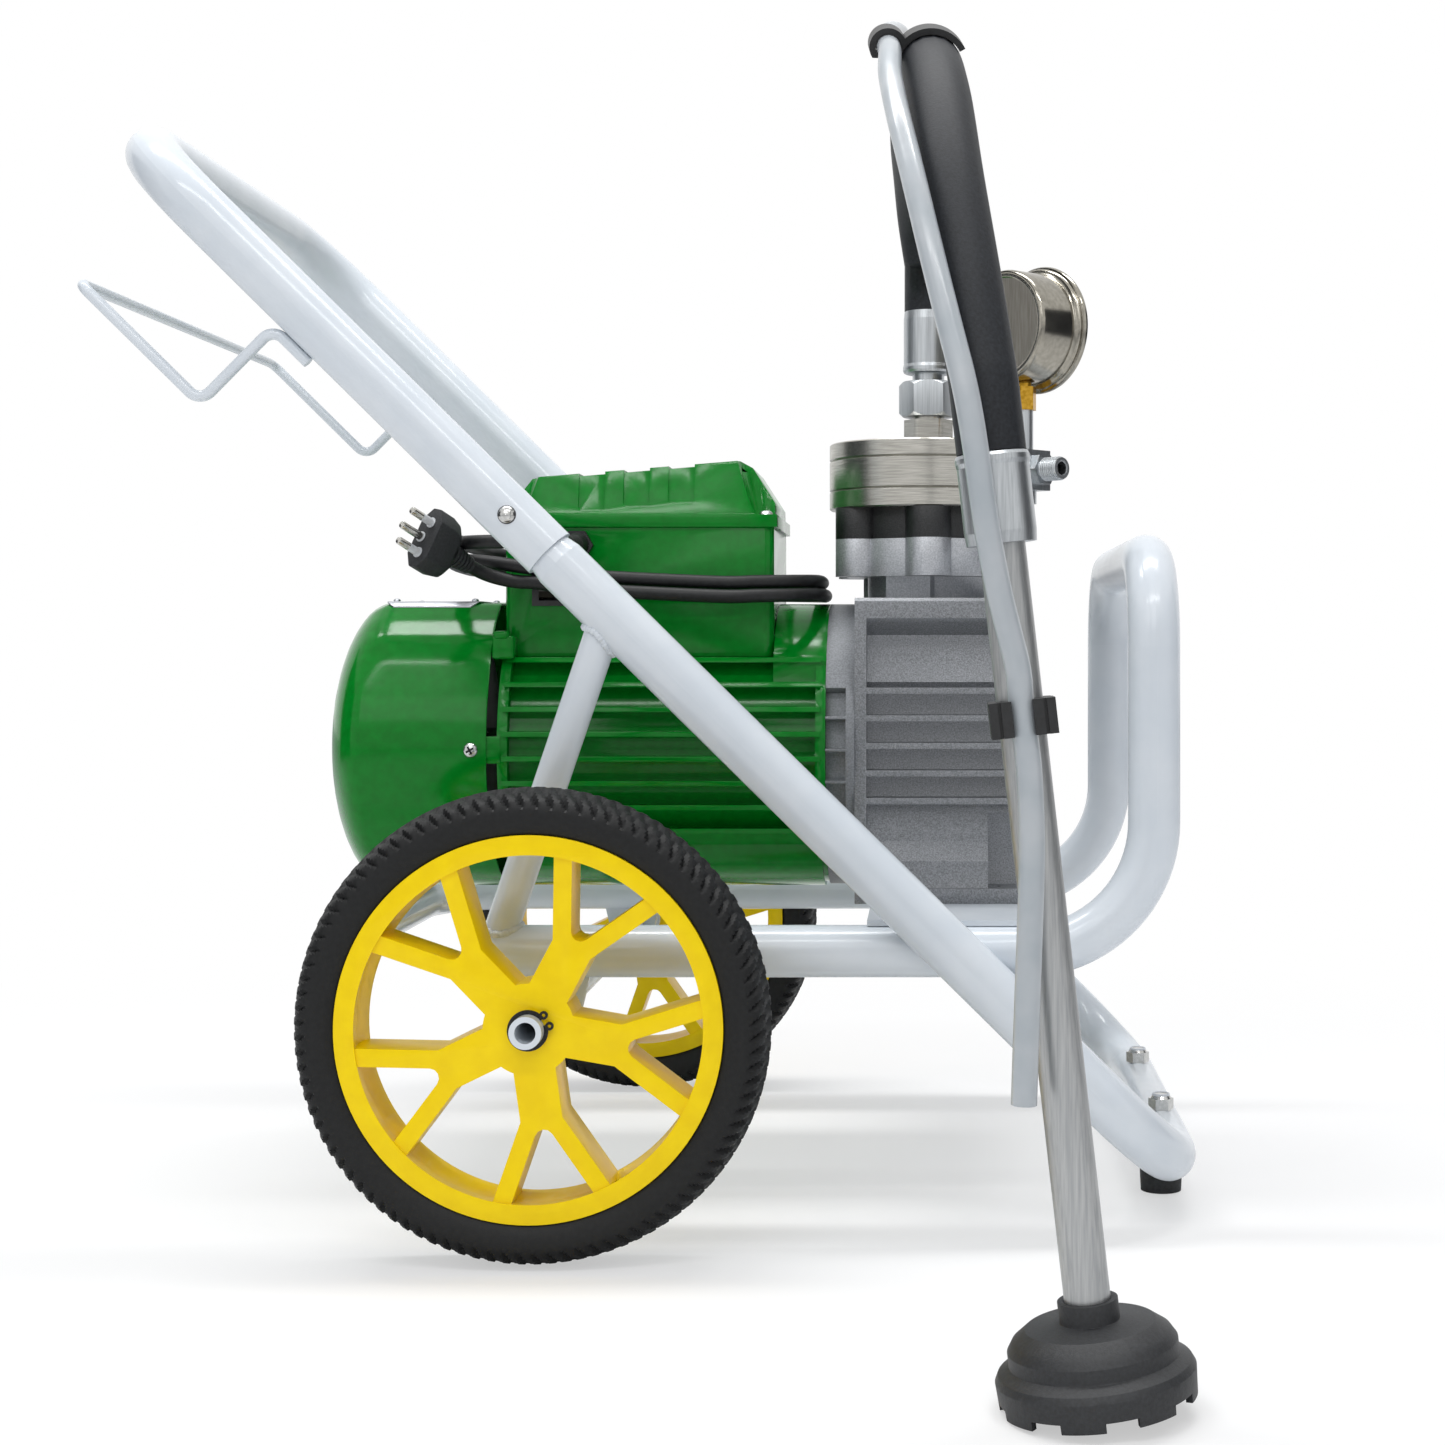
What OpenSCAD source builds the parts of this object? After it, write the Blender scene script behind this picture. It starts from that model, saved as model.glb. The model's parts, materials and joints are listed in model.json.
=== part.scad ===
// Airless paint sprayer on a two-wheeled tube cart.
// Lengths are millimetres. +Z is up, +X is the front of the cart and -Y is the suction tube's side.
// The machine is drawn about the pump head's axis and moved to its base centre by placed().

/* [Wheels] */
// Outer diameter of the tyre
tyre_d = 250; // [230:1:260]
// Width of the tyre
tyre_w = 40; // [34:1:44]
// Outer diameter of the rim, under the tyre
rim_d = 202; // [190:1:206]
// Diameter inside the rim's band
rim_inner_d = 181; // [170:1:184]
// Number of forked arms
arm_count = 5; // [3:1:6]
// Width of one arm at the hub
arm_w = 22; // [18:1:28]
// Width of one prong of an arm
prong_w = 9.5; // [6:0.5:11]
// Distance between the two wheels' middle planes
track = 468; // [460:1:500]
// Distance from the pump axis back to the axle
axle_back = 208; // [190:1:230]
// Outer diameter of the axle tube
axle_d = 17; // [15:0.5:20]
// Bore of the axle tube
axle_bore = 11; // [8:0.5:12]
// Running clearance between axle and hub, on the radius
axle_fit = 0.08; // [0.04:0.01:0.1]

/* [Cart frame] */
// Outer diameter of the front frame tube
tube_d = 29.5; // [26:0.5:32]
// Wall of all frame tubes
tube_wall = 2; // [1.5:0.1:3]
// Distance between the two sloping legs, axis to axis
leg_span = 364; // [350:1:380]
// Slope of the legs and the handle
leg_slope = 44.6; // [40:0.1:50]
// Distance from the pump axis forward to the front crossbar
front_reach = 137.5; // [130:0.5:160]
// Height of the front crossbar's axis
front_h = 33.2; // [28:0.1:38]
// Bend radius of the front corners
front_bend = 62; // [50:1:80]
// Length of a sloping leg from the front crossbar to the handle's edge
leg_len = 486; // [470:1:510]
// Outer diameter of the cradle and guard tube
cradle_d = 29; // [26:0.5:32]
// Distance from a leg's axis in to the cradle tube's axis
cradle_in = 22; // [18:0.5:25]
// Height of the cradle tubes' axis
cradle_h = 153.5; // [150:0.5:160]
// Length of the cradle tubes behind the pump axis
cradle_back = 256; // [245:1:262]
// Distance from the pump axis forward to the guard
guard_reach = 125; // [120:1:135]
// Height of the guard's crossbar axis
guard_h = 373.5; // [350:0.5:400]
// Outer diameter of the rear struts
strut_d = 19; // [16:0.5:22]

/* [Handle] */
// Outer diameter of the handle tube
handle_d = 30.5; // [28:0.5:33]
// Length of the handle from its lower edge to its crossbar's axis
handle_len = 327.5; // [280:0.5:360]
// Length of the leg's neck inside the handle
neck_len = 62; // [50:1:80]
// Diameter of the snap buttons
button_d = 9; // [7:0.5:10]
// Diameter of the hose hook's wire
hook_d = 6.3; // [5:0.1:8]
// Depth of the hose hook below the handle
hook_drop = 57; // [45:1:70]
// Length of the hose hook
hook_len = 93; // [70:1:110]

/* [Motor] */
// Radius over the motor's fins
motor_r = 88.5; // [86:0.5:90]
// Height of the motor's axis
motor_h = 262; // [260:0.5:270]
// Length of the finned body
motor_len = 194; // [185:1:196]
// Distance between fins
fin_pitch = 14.6; // [13:0.1:16]
// Thickness of a fin
fin_t = 3; // [2:0.5:4]
// Length of the fan cowl without its dome
cowl_len = 74; // [68:1:84]
// Height of the cowl's dome
cowl_dome = 37; // [30:1:42]
// Outer diameter of the shaft
shaft_d = 20; // [17:0.5:22]

/* [Control box] */
// Length of the control box
box_len = 162; // [150:1:164]
// Width of the control box
box_w = 124; // [114:1:126]
// Height of the lid's lower edge
box_top = 395; // [385:1:400]
// Height of the lid at its rear
lid_low = 30; // [24:1:34]
// Height of the lid at its front
lid_high = 40.5; // [36:0.5:44]

/* [Pump] */
// Length of the gear housing
house_len = 103; // [96:1:104]
// Distance from the pump axis back to the gear housing's rear face
house_behind = 44.6; // [42:0.1:47]
// Width of the gear housing
house_w = 170; // [160:1:176]
// Height of the gear housing's top
house_top = 352; // [350:0.5:353]
// Radius of the stainless head discs
disc_r = 62; // [58:0.5:64]
// Number of head bolts and lobes
bolt_count = 6; // [4:1:8]
// Radius of the head bolts' circle
bolt_ring = 46; // [43:0.5:47]
// Diameter of the head bolts
bolt_d = 8; // [6:0.5:9]
// Throw of the eccentric
throw = 3; // [2:0.5:4]
// Diameter of the plunger
plunger_d = 16; // [12:0.5:18]

/* [Hoses and gauge] */
// Outer diameter of the suction hose
suction_d = 30; // [26:0.5:31]
// Outer diameter of the suction tube
pipe_d = 20; // [16:0.5:22]
// Lean of the suction tube
pipe_lean = 6.46; // [3:0.02:8]
// Distance from the centre plane to the suction tube
pipe_side = 460; // [450:1:466]
// Diameter over the strainer's rim
strainer_d = 86; // [80:1:92]
// Outer diameter of the return hose
return_d = 11; // [9:0.5:11]
// Outer diameter of the power cord
cord_d = 8.2; // [7:0.1:9]
// Diameter of the gauge's case
gauge_d = 67; // [60:0.5:70]
// Depth of the gauge's case
gauge_depth = 35; // [30:0.5:40]

/* [Hidden] */
$fn = 64;

// clearances and small shared sizes
gap = 0.3;
slip = 0.15;
eps = 0.01;

// wheels
wheel_r = tyre_d / 2;
wheel_x = -axle_back;
wheel_z = wheel_r;
rim_r = rim_d / 2;
rim_w = tyre_w - 6;
hub_r = 24;
boss_r = 10;
hub_end = track / 2 + rim_w / 2;
axle_end = hub_end + 9;
circlip_t = 1.2;
collar_len = 4;

// cradle tubes, inside the legs
cradle_span = leg_span - 2 * cradle_in;
cradle_bend = 72;
guard_bend = 50;
cradle_tail = 80;

// sloping frame: local x runs up the slope, local z points to its underside
neck_d = handle_d - 2 * tube_wall - 0.2;
swage_len = 8;
snap_x = leg_len + 29;
hook_x = leg_len + 167.5;
hook_z = handle_d / 2 + hook_d / 2;
hook_bend = 8;
hook_run = 27;
strut_top = [-176, leg_span / 2, 342];
strut_foot = [-241, cradle_span / 2, 160];
plate_t = 3;
plate_top = cradle_h + cradle_d / 2 + plate_t;
plate_from = -35;
plate_to = 62;
plate_bolt_in = 20;
plate_bolt_side = house_w / 2 - 14;
foot_h = 17;
foot_d = 26;
foot_span = 150;
foot_bolt_head = 13;

// motor and control box, X stations along the shaft
adapter_to = -house_behind;
adapter_len = 17.4;
motor_front = adapter_to - adapter_len;
motor_back = motor_front - motor_len;
cowl_gap = 6;
cowl_front = motor_back - cowl_gap;
cowl_wall = 1.8;
cowl_screw_x = cowl_front - 12;
cowl_screw_z = motor_h;
screw_d = 4;
cowl_back = cowl_front - cowl_len;
core_r = motor_r - 10;
bore_r = core_r - 8;
band_r = motor_r - 2.5;
band_len = 6;
rotor_r = 40.5;
core_len = 92;
core_from = (motor_back + motor_front - core_len) / 2;
fin_count = 8;
fin_top = motor_h + 53.2;
box_front = motor_back + box_len;
box_floor = fin_top + fin_t / 2 + gap;
box_wall = 3;
saddle_top = 346;
saddle_w = box_w - 8;
lid_over = 2;
lid_wall = 2.2;
skirt_h = 7.5;
lid_screw_in = 5;
pocket_depth = 1.4;
switch_x = motor_back + 31;
switch_y = -box_w / 2 + 3;
switch_z = 358;
switch_w = 28;
switch_h = 21;
rocker_w = 19.4;
rocker_r = 6.2;
rocker_tilt = 8;
pivot_r = 1;
gland_thread = 12;
gland_x = motor_back + 44;
gland_z = box_top - 11;
bearing_r = shaft_d / 2 + 12;

// gear housing and head
head_x = -1;
house_back = adapter_to;
house_front = house_back + house_len;
cavity_r = 58;
eccentric_r = 23;
plunger_foot = motor_h + throw + eccentric_r + gap;
foot_t = 4;
ceiling = motor_h + cavity_r;
spring_r = plunger_d / 2 + 4.5;
spring_wire = 2;
neck_top = house_top + 14;
neck_r = 38;
flange_top = 389;
spacer_top = 408;
lower_top = 419.5;
middle_top = 438.5;
upper_top = 449;
lobe_r = 14;
lobe_ring = bolt_ring + 4;
hex_af = 28;
hex_top = 465;
nut_af = 32;
nut_from = 467;
nut_top = 489;
ferrule_from = 494;
ferrule_top = 533;
ferrule_r = suction_d / 2 + 1;

// suction tube, drawn upright from the strainer's foot and then leaned
pipe_foot = [71.6, -pipe_side, strainer_d / 2 * sin(pipe_lean)];
ferrule_len = 39;
pipe_top = 404.3;
clip_at = 284;
clip_h = 15;
return_off = pipe_d / 2 + return_d / 2 + 2;

// gauge manifold, on a line 45 degrees to the front and near side
manifold_turn = -45;
regulator_turn = 122;
block_at = 81;
block_w = 24;
valve_z = (lower_top + middle_top) / 2;
gauge_turn = 43;
gauge_z = 515;
gauge_back = gauge_depth - 17;
adapter_z = 465.5;
bezel_d = gauge_d + 10;

// base centre of everything but the cords, used as the origin
slope_top = leg_len + handle_len;
hook_far = hook_x + hook_run + hook_len;
hook_low = hook_z + hook_drop;
front_edge = front_reach + tube_d / 2;
back_edge = front_reach - hook_far * cos(leg_slope) - hook_low * sin(leg_slope) - hook_d / 2;
base_x = (front_edge + back_edge) / 2;
base_y = (axle_end - (pipe_side + strainer_d / 2)) / 2;

module placed() {
    translate([-base_x, -base_y, 0]) children();
}

// ---------------------------------------------------------------- shared shapes

function unit(v) = v / norm(v);

// solid rod through points, with a bend radius at each inner point
module bent_rod(pts, d, bends) {
    n = len(pts);
    dirs = [for (i = [0:n - 2]) unit(pts[i + 1] - pts[i])];
    turns = [for (i = [1:n - 2]) acos(dirs[i - 1] * dirs[i])];
    trims = [0, for (i = [1:n - 2]) bends[i - 1] * tan(turns[i - 1] / 2), 0];
    for (i = [0:n - 2])
        rod(pts[i] + dirs[i] * trims[i], pts[i + 1] - dirs[i] * trims[i + 1], d);
    for (i = [1:n - 2]) {
        side = unit(dirs[i] - dirs[i - 1]);
        start = pts[i] - dirs[i - 1] * trims[i];
        up = unit(cross(dirs[i - 1], dirs[i]));
        out = cross(dirs[i - 1], up);
        centre = start - out * bends[i - 1];
        on_axes(out, dirs[i - 1], up, centre)
            rotate_extrude(angle = turns[i - 1]) translate([bends[i - 1], 0]) circle(d = d);
    }
}

// straight rod between two points
module rod(p, q, d) {
    along = unit(q - p);
    helper = abs(along[2]) > 0.9 ? [1, 0, 0] : [0, 0, 1];
    side = unit(cross(helper, along));
    on_axes(side, cross(along, side), along, p) cylinder(h = norm(q - p), d = d);
}

module on_axes(ex, ey, ez, at) {
    multmatrix([[ex[0], ey[0], ez[0], at[0]], [ex[1], ey[1], ez[1], at[1]],
        [ex[2], ey[2], ez[2], at[2]], [0, 0, 0, 1]]) children();
}

module along_x(x = 0, y = 0, z = 0) {
    translate([x, y, z]) rotate([90, 0, 90]) children();
}

module along_y(x = 0, y = 0, z = 0) {
    translate([x, y, z]) rotate([-90, 0, 0]) children();
}

module on_slope() {
    translate([front_reach, 0, front_h]) rotate([0, 180 + leg_slope, 0]) children();
}

module both_sides() {
    children();
    mirror([0, 1, 0]) children();
}

module hexagon(af, h) {
    cylinder(h = h, r = af / 2 / cos(30), $fn = 6);
}

module ring_bolts(at, from, h, r) {
    for (i = [0:bolt_count - 1])
        rotate([0, 0, 360 / bolt_count * i - 90]) translate([at, 0, from]) cylinder(h = h, r = r);
}

// swept tube: one polyhedron with rings set square to a smooth path
function tangent(p, i) = unit(p[min(i + 1, len(p) - 1)] - p[max(i - 1, 0)]);
function side_of(t, ref) = unit(cross(t, abs(t * ref) > 0.98 ? [0, 1, 0.3] : ref));
function ring_at(c, t, r, sides, ref) = let (u = side_of(t, ref), v = cross(t, u))
    [for (k = [0:sides - 1]) c + r * (cos(360 / sides * k) * u + sin(360 / sides * k) * v)];
function curve_point(a, b, c, d, t) = 0.5 * ((2 * b) + (c - a) * t
    + (2 * a - 5 * b + 4 * c - d) * t * t + (3 * b - a - 3 * c + d) * t * t * t);
function smooth(p, steps) = [for (i = [0:len(p) - 2]) for (s = [0:steps - 1])
    curve_point(p[max(i - 1, 0)], p[i], p[i + 1], p[min(i + 2, len(p) - 1)], s / steps),
    p[len(p) - 1]];

module swept(path, r, sides, ref) {
    n = len(path);
    rings = [for (i = [0:n - 1]) each ring_at(path[i], tangent(path, i), r, sides, ref)];
    walls = [for (i = [0:n - 2]) for (k = [0:sides - 1]) let (a = i * sides + k,
        b = i * sides + (k + 1) % sides) each [[a, b, b + sides], [a, b + sides, a + sides]]];
    caps = [for (k = [1:sides - 2]) each [[0, k + 1, k],
        [(n - 1) * sides, (n - 1) * sides + k, (n - 1) * sides + k + 1]]];
    polyhedron(points = rings, faces = concat([for (f = walls) [f[0], f[2], f[1]]],
        [for (f = caps) [f[0], f[2], f[1]]]), convexity = 6);
}

// ---------------------------------------------------------------- cart frame

// U of tube in its own plane: legs along +x from a crossbar at x = 0
function u_points(span, len) = [[len, -span / 2, 0], [0, -span / 2, 0], [0, span / 2, 0], [len, span / 2, 0]];

module frame_tube() {
    color("whitesmoke") placed() on_slope() difference() {
        union() {
            bent_rod(u_points(leg_span, leg_len - swage_len), tube_d, [front_bend, front_bend]);
            both_sides() along_x(leg_len - swage_len, leg_span / 2) {
                cylinder(h = swage_len, d1 = tube_d, d2 = neck_d);
                translate([0, 0, swage_len]) cylinder(h = neck_len, d = neck_d);
            }
        }
        bent_rod(u_points(leg_span, leg_len - swage_len), tube_d - 2 * tube_wall,
            [front_bend, front_bend]);
        both_sides() along_x(leg_len - swage_len - eps, leg_span / 2) {
            cylinder(h = swage_len + 2 * eps, d1 = tube_d - 2 * tube_wall, d2 = neck_d - 2 * tube_wall);
            translate([0, 0, swage_len]) cylinder(h = neck_len + 1, d = neck_d - 2 * tube_wall);
        }
        both_sides() snap_hole();
        foot_holes();
    }
}

module snap_hole() {
    along_y(snap_x, leg_span / 2) cylinder(h = handle_d, d = button_d + 2 * gap);
}

module foot_holes() {
    both_sides() translate([0, foot_span / 2, 0]) rotate([0, -leg_slope, 0])
        cylinder(h = 2 * tube_d, d = bolt_d + 2 * slip, center = true);
}

function cradle_points() = [
    [-cradle_back, -cradle_span / 2, cradle_h],
    [guard_reach, -cradle_span / 2, cradle_h],
    [guard_reach, -cradle_span / 2, guard_h],
    [guard_reach, cradle_span / 2, guard_h],
    [guard_reach, cradle_span / 2, cradle_h],
    [cowl_front - cradle_tail, cradle_span / 2, cradle_h],
    [cowl_front - cradle_tail, -40, cradle_h]];

module cradle_tube() {
    bends = [cradle_bend, guard_bend, guard_bend, cradle_bend, 60];
    color("whitesmoke") placed() difference() {
        bent_rod(cradle_points(), cradle_d, bends);
        bent_rod(cradle_points(), cradle_d - 2 * tube_wall, bends);
        leg_solids();
    }
}

// the sloping legs as solid rods, for coping what is welded to them
module leg_solids() {
    on_slope() both_sides() along_x(0, leg_span / 2) cylinder(h = leg_len, d = tube_d);
}

module strut_tubes() {
    color("whitesmoke") placed() difference() {
        both_sides() difference() {
            rod(strut_top, strut_foot, strut_d);
            rod(strut_top, strut_foot, strut_d - 2 * tube_wall);
        }
        leg_solids();
        both_sides() along_x(-cradle_back - 1, cradle_span / 2, cradle_h)
            cylinder(h = cradle_back, d = cradle_d);
    }
    color("whitesmoke") placed() axle_hangers();
}

// two plates that hang the axle below the cradle tubes
module axle_hangers() {
    difference() {
        both_sides() translate([wheel_x, cradle_span / 2, 0]) rotate([90, 0, 0])
            linear_extrude(6, center = true) difference() {
                hull() {
                    translate([0, wheel_z]) circle(d = axle_d + 12);
                    translate([-20, cradle_h - 8]) square([40, 8]);
                }
                translate([0, wheel_z]) circle(d = axle_d + 2 * slip);
            }
        both_sides() along_x(-cradle_back - 1, cradle_span / 2, cradle_h)
            cylinder(h = cradle_back, d = cradle_d);
    }
}

// flat plate on the cradle tubes, notched where their front bends start to rise
module mount_plate() {
    width = cradle_span + 8;
    color("whitesmoke") placed() difference() {
        translate([plate_from, -width / 2, plate_top - plate_t])
            cube([plate_to - plate_from, width, plate_t]);
        both_sides() translate([guard_reach - cradle_bend, (cradle_span - cradle_d) / 2, cradle_h])
            cube([plate_to, cradle_d, cradle_d]);
        plate_bolts() cylinder(h = 40, d = bolt_d + 2 * slip, center = true);
    }
}

module plate_bolts() {
    for (x = [house_back + plate_bolt_in, house_front - plate_bolt_in])
        both_sides() translate([x, plate_bolt_side, plate_top]) children();
}

module handle() {
    color("whitesmoke") placed() on_slope() difference() {
        translate([slope_top, 0, 0]) rotate([0, 0, 180])
            bent_rod(u_points(leg_span, handle_len), handle_d, [front_bend, front_bend]);
        translate([slope_top, 0, 0]) rotate([0, 0, 180])
            bent_rod(u_points(leg_span, handle_len + 1), handle_d - 2 * tube_wall,
                [front_bend, front_bend]);
        both_sides() snap_hole();
    }
}

module hose_hook() {
    y = leg_span / 2;
    knee = hook_x + hook_run;
    color("whitesmoke") placed() on_slope()
        bent_rod([[hook_x, -y, hook_z], [knee, -y, hook_z], [knee, -y, hook_low],
            [hook_far, -y, hook_low], [hook_far, y, hook_low], [knee, y, hook_low],
            [knee, y, hook_z], [hook_x, y, hook_z]], hook_d, [for (i = [1:6]) hook_bend]);
}

module snap_button() {
    seat = neck_d / 2 - tube_wall - 1.4;
    on_slope() along_y(snap_x, leg_span / 2) {
        translate([0, 0, seat]) {
            cylinder(h = handle_d / 2 - seat + 0.8, d = button_d);
            translate([0, 0, handle_d / 2 - seat + 0.8]) dome(button_d / 2, 2.2);
        }
        translate([-4, -button_d / 2 + 1, seat - 0.8]) cube([34, button_d - 2, 0.8]);
    }
}

// shallow spherical cap of base radius r and height h
module dome(r, h) {
    ball = (r * r + h * h) / 2 / h;
    intersection() {
        translate([0, 0, h - ball]) sphere(r = ball);
        cylinder(h = h, r = r);
    }
}

module near_snap_button() {
    color("silver") placed() mirror([0, 1, 0]) snap_button();
}

module far_snap_button() {
    color("silver") placed() snap_button();
}

module rubber_feet() {
    color([0.1, 0.1, 0.1]) placed() both_sides() translate([front_reach, foot_span / 2, 0])
        difference() {
            cylinder(h = foot_h + 4, d1 = foot_d - 2, d2 = foot_d);
            translate([0, -foot_d, front_h]) rotate([-90, 0, 0]) cylinder(h = 2 * foot_d, d = tube_d);
            translate([0, 0, 4]) cylinder(h = 30, d = bolt_d + 2 * slip);
            translate([0, 0, 4]) cylinder(h = 5 + slip, d = foot_bolt_head + 2 * slip);
        }
}

module foot_bolts() {
    nut_at = front_h + tube_d / 2;
    color("silver") placed() both_sides() translate([front_reach, foot_span / 2, 0]) {
        translate([0, 0, 4]) cylinder(h = 5, d = foot_bolt_head);
        translate([0, 0, 9]) cylinder(h = nut_at, d = bolt_d);
        translate([0, 0, nut_at]) hexagon(13, 6.5);
        translate([0, 0, nut_at + 6.5]) cylinder(h = 2, r1 = 6.3, r2 = 5);
    }
}

// ---------------------------------------------------------------- wheels

module axle() {
    color("whitesmoke") placed() along_y(wheel_x, -axle_end, wheel_z) difference() {
        union() {
            cylinder(h = 2 * axle_end, d = axle_d);
            for (z = [hub_end - rim_w - gap - collar_len, gap + rim_w - hub_end])
                translate([0, 0, axle_end + z]) cylinder(h = collar_len, d = axle_d + 8);
        }
        for (z = [hub_end + gap, -hub_end - gap - circlip_t])
            translate([0, 0, axle_end + z]) difference() {
                cylinder(h = circlip_t, d = axle_d + 1);
                cylinder(h = circlip_t, d = axle_d - 1.4);
            }
        translate([0, 0, -1]) cylinder(h = 2 * axle_end + 2, d = axle_bore);
    }
}

module circlips() {
    color([0.12, 0.12, 0.12]) placed() both_sides()
        along_y(wheel_x, hub_end + gap, wheel_z) linear_extrude(circlip_t) {
            difference() {
                circle(d = axle_d + 4.4);
                circle(d = axle_d - 1.4);
                rotate(-28) translate([0, -1.6]) square([axle_d, 3.2]);
            }
            for (turn = [-12, -44]) rotate(turn) translate([axle_d / 2 + 3, 0]) difference() {
                circle(d = 4.4);
                circle(d = 1.8);
            }
        }
}

// wheel drawn with its axis along z, middle plane at z = 0
module rim() {
    lip = 5;
    difference() {
        union() {
            rotate_extrude() polygon([[rim_inner_d / 2, -rim_w / 2], [rim_r, -rim_w / 2],
                [rim_r, -rim_w / 2 + lip], [rim_r - 4, -rim_w / 2 + lip + 2],
                [rim_r - 4, rim_w / 2 - lip - 2], [rim_r, rim_w / 2 - lip], [rim_r, rim_w / 2],
                [rim_inner_d / 2, rim_w / 2], [rim_inner_d / 2 + 2.5, 0]]);
            linear_extrude(rim_w - 4, center = true) arms();
            cylinder(h = rim_w - 4, r = hub_r, center = true);
            cylinder(h = rim_w, r = boss_r, center = true);
        }
        cylinder(h = rim_w + 2, r = axle_d / 2 + axle_fit, center = true);
    }
}

// forked arms: one stem that splits into two prongs round a rounded crotch
module arms() {
    stem_end = 47;
    crotch_r = 5;
    end_r = rim_inner_d / 2 + 2;
    spread = atan2(end_r * sin(90 / arm_count) * 1.12 - arm_w / 2, end_r * cos(90 / arm_count) - stem_end);
    outer = [stem_end, arm_w / 2];
    apex = stem_end + (prong_w / cos(spread) - arm_w / 2) / tan(spread);
    inner = [apex, 0] + crotch_r / tan(spread) * [cos(spread), sin(spread)];
    reach = [for (p = [outer, inner]) p + ray_to(p, spread, end_r) * [cos(spread), sin(spread)]];
    crotch = [for (i = [-2:2]) [apex + crotch_r / sin(spread), 0]
        - crotch_r * [cos((90 - spread) / 2 * i), sin((90 - spread) / 2 * i)]];
    for (i = [0:arm_count - 1]) rotate(62 + 360 / arm_count * i)
        polygon([[0, -outer[1]], [outer[0], -outer[1]], flipped(reach[0]), flipped(reach[1]),
            each [for (k = [4:-1:0]) crotch[k]], reach[1], reach[0], outer, [0, outer[1]]]);
}

function flipped(p) = [p[0], -p[1]];

// distance from p, along a ray at the given angle, to a circle round the origin
function ray_to(p, angle, r) = let (along = p * [cos(angle), sin(angle)])
    sqrt(along * along - p * p + r * r) - along;

module tyre() {
    bulge = tyre_w / 2;
    shoulder = wheel_r - 8;
    difference() {
        rotate_extrude() polygon([[rim_r - 3, -rim_w / 2 + 7], [rim_r - 3, rim_w / 2 - 7],
            [rim_r + slip, rim_w / 2 - 5], [rim_r + slip, rim_w / 2 - 1],
            [rim_r + 6, bulge - 1], [shoulder, bulge], [wheel_r - 2.5, bulge - 7],
            [wheel_r, bulge - 13], [wheel_r, -bulge + 13], [wheel_r - 2.5, -bulge + 7],
            [shoulder, -bulge], [rim_r + 6, -bulge + 1],
            [rim_r + slip, -rim_w / 2 + 1], [rim_r + slip, -rim_w / 2 + 5]]);
        tread_grooves();
    }
}

module tread_grooves() {
    count = 36;
    for (i = [0:count - 1]) rotate(360 / count * i)
        for (side = [-1, 1]) translate([wheel_r + 1, 0, side * (tyre_w / 2 - 3)])
            rotate([side * 24, 0, 0]) cube([9, 3.6, 15], center = true);
}

module wheel_at(side) {
    along_y(wheel_x, side * track / 2, wheel_z) children();
}

module near_rim() {
    color([0.93, 0.8, 0]) placed() wheel_at(-1) mirror([0, 1, 0]) rim();
}

module near_tyre() {
    color([0.13, 0.13, 0.14]) placed() wheel_at(-1) tyre();
}

module far_rim() {
    color([0.93, 0.8, 0]) placed() wheel_at(1) mirror([0, 1, 0]) rim();
}

module far_tyre() {
    color([0.13, 0.13, 0.14]) placed() wheel_at(1) tyre();
}

// ---------------------------------------------------------------- motor

green = [0, 0.42, 0.14];

module motor_housing() {
    color(green) placed() difference() {
        union() {
            along_x(motor_back, 0, motor_h) cylinder(h = motor_len, r = core_r);
            for (x = [motor_back, motor_front - band_len])
                along_x(x, 0, motor_h) cylinder(h = band_len, r = band_r);
            intersection() {
                along_x(motor_back + 3, 0, motor_h) cylinder(h = motor_len - 6, r = motor_r);
                union() {
                    for (i = [0:fin_count - 1])
                        translate([motor_back + 3, -motor_r, fin_top - fin_pitch * i - fin_t / 2])
                            cube([motor_len - 6, 2 * motor_r, fin_t]);
                    translate([motor_back + 3, -52, motor_h - motor_r])
                        cube([motor_len - 6, 104, 34]);
                }
            }
            shoulder();
        }
        along_x(motor_back - 1, 0, motor_h) cylinder(h = motor_len + 2, r = bore_r);
        wire_way();
    }
    color(green) placed() rear_wall();
    color(green) placed() cowl_lugs();
}

// lugs behind the rear band, inside the cowl, that its screws go into
module cowl_lugs() {
    difference() {
        intersection() {
            along_x(motor_back - 22, 0, motor_h) difference() {
                cylinder(h = 24, r = motor_r - cowl_wall - slip);
                translate([0, 0, -1]) cylinder(h = 26, r = motor_r - cowl_wall - 6);
            }
            translate([motor_back - 22, -motor_r, cowl_screw_z - 8]) cube([24, 2 * motor_r, 16]);
        }
        cowl_screw_holes(screw_d + slip);
    }
}

// raised saddle under the control box and the step in front of it
module shoulder() {
    intersection() {
        along_x(motor_back, 0, motor_h) cylinder(h = motor_len, r = motor_r - 1);
        translate([box_front + gap, -70, motor_h + 40])
            cube([motor_front - box_front - gap, 140, 60]);
    }
    difference() {
        translate([motor_back + 4, -saddle_w / 2, box_floor])
            cube([box_len - 12, saddle_w, saddle_top - box_floor]);
        along_x(motor_back - 1, 0, motor_h) cylinder(h = motor_len + 2, r = core_r - 2);
    }
}

module wire_way() {
    translate([motor_back + 60, 0, motor_h]) cylinder(h = 200, d = 24);
}

module rear_wall() {
    along_x(motor_back, 0, motor_h) difference() {
        union() {
            cylinder(h = 5, r = bore_r);
            translate([0, 0, -2]) cylinder(h = 16, r = bearing_r + 5);
        }
        translate([0, 0, 2]) cylinder(h = 40, r = bearing_r);
        cylinder(h = 40, r = shaft_d / 2 + 1, center = true);
    }
}

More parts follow.
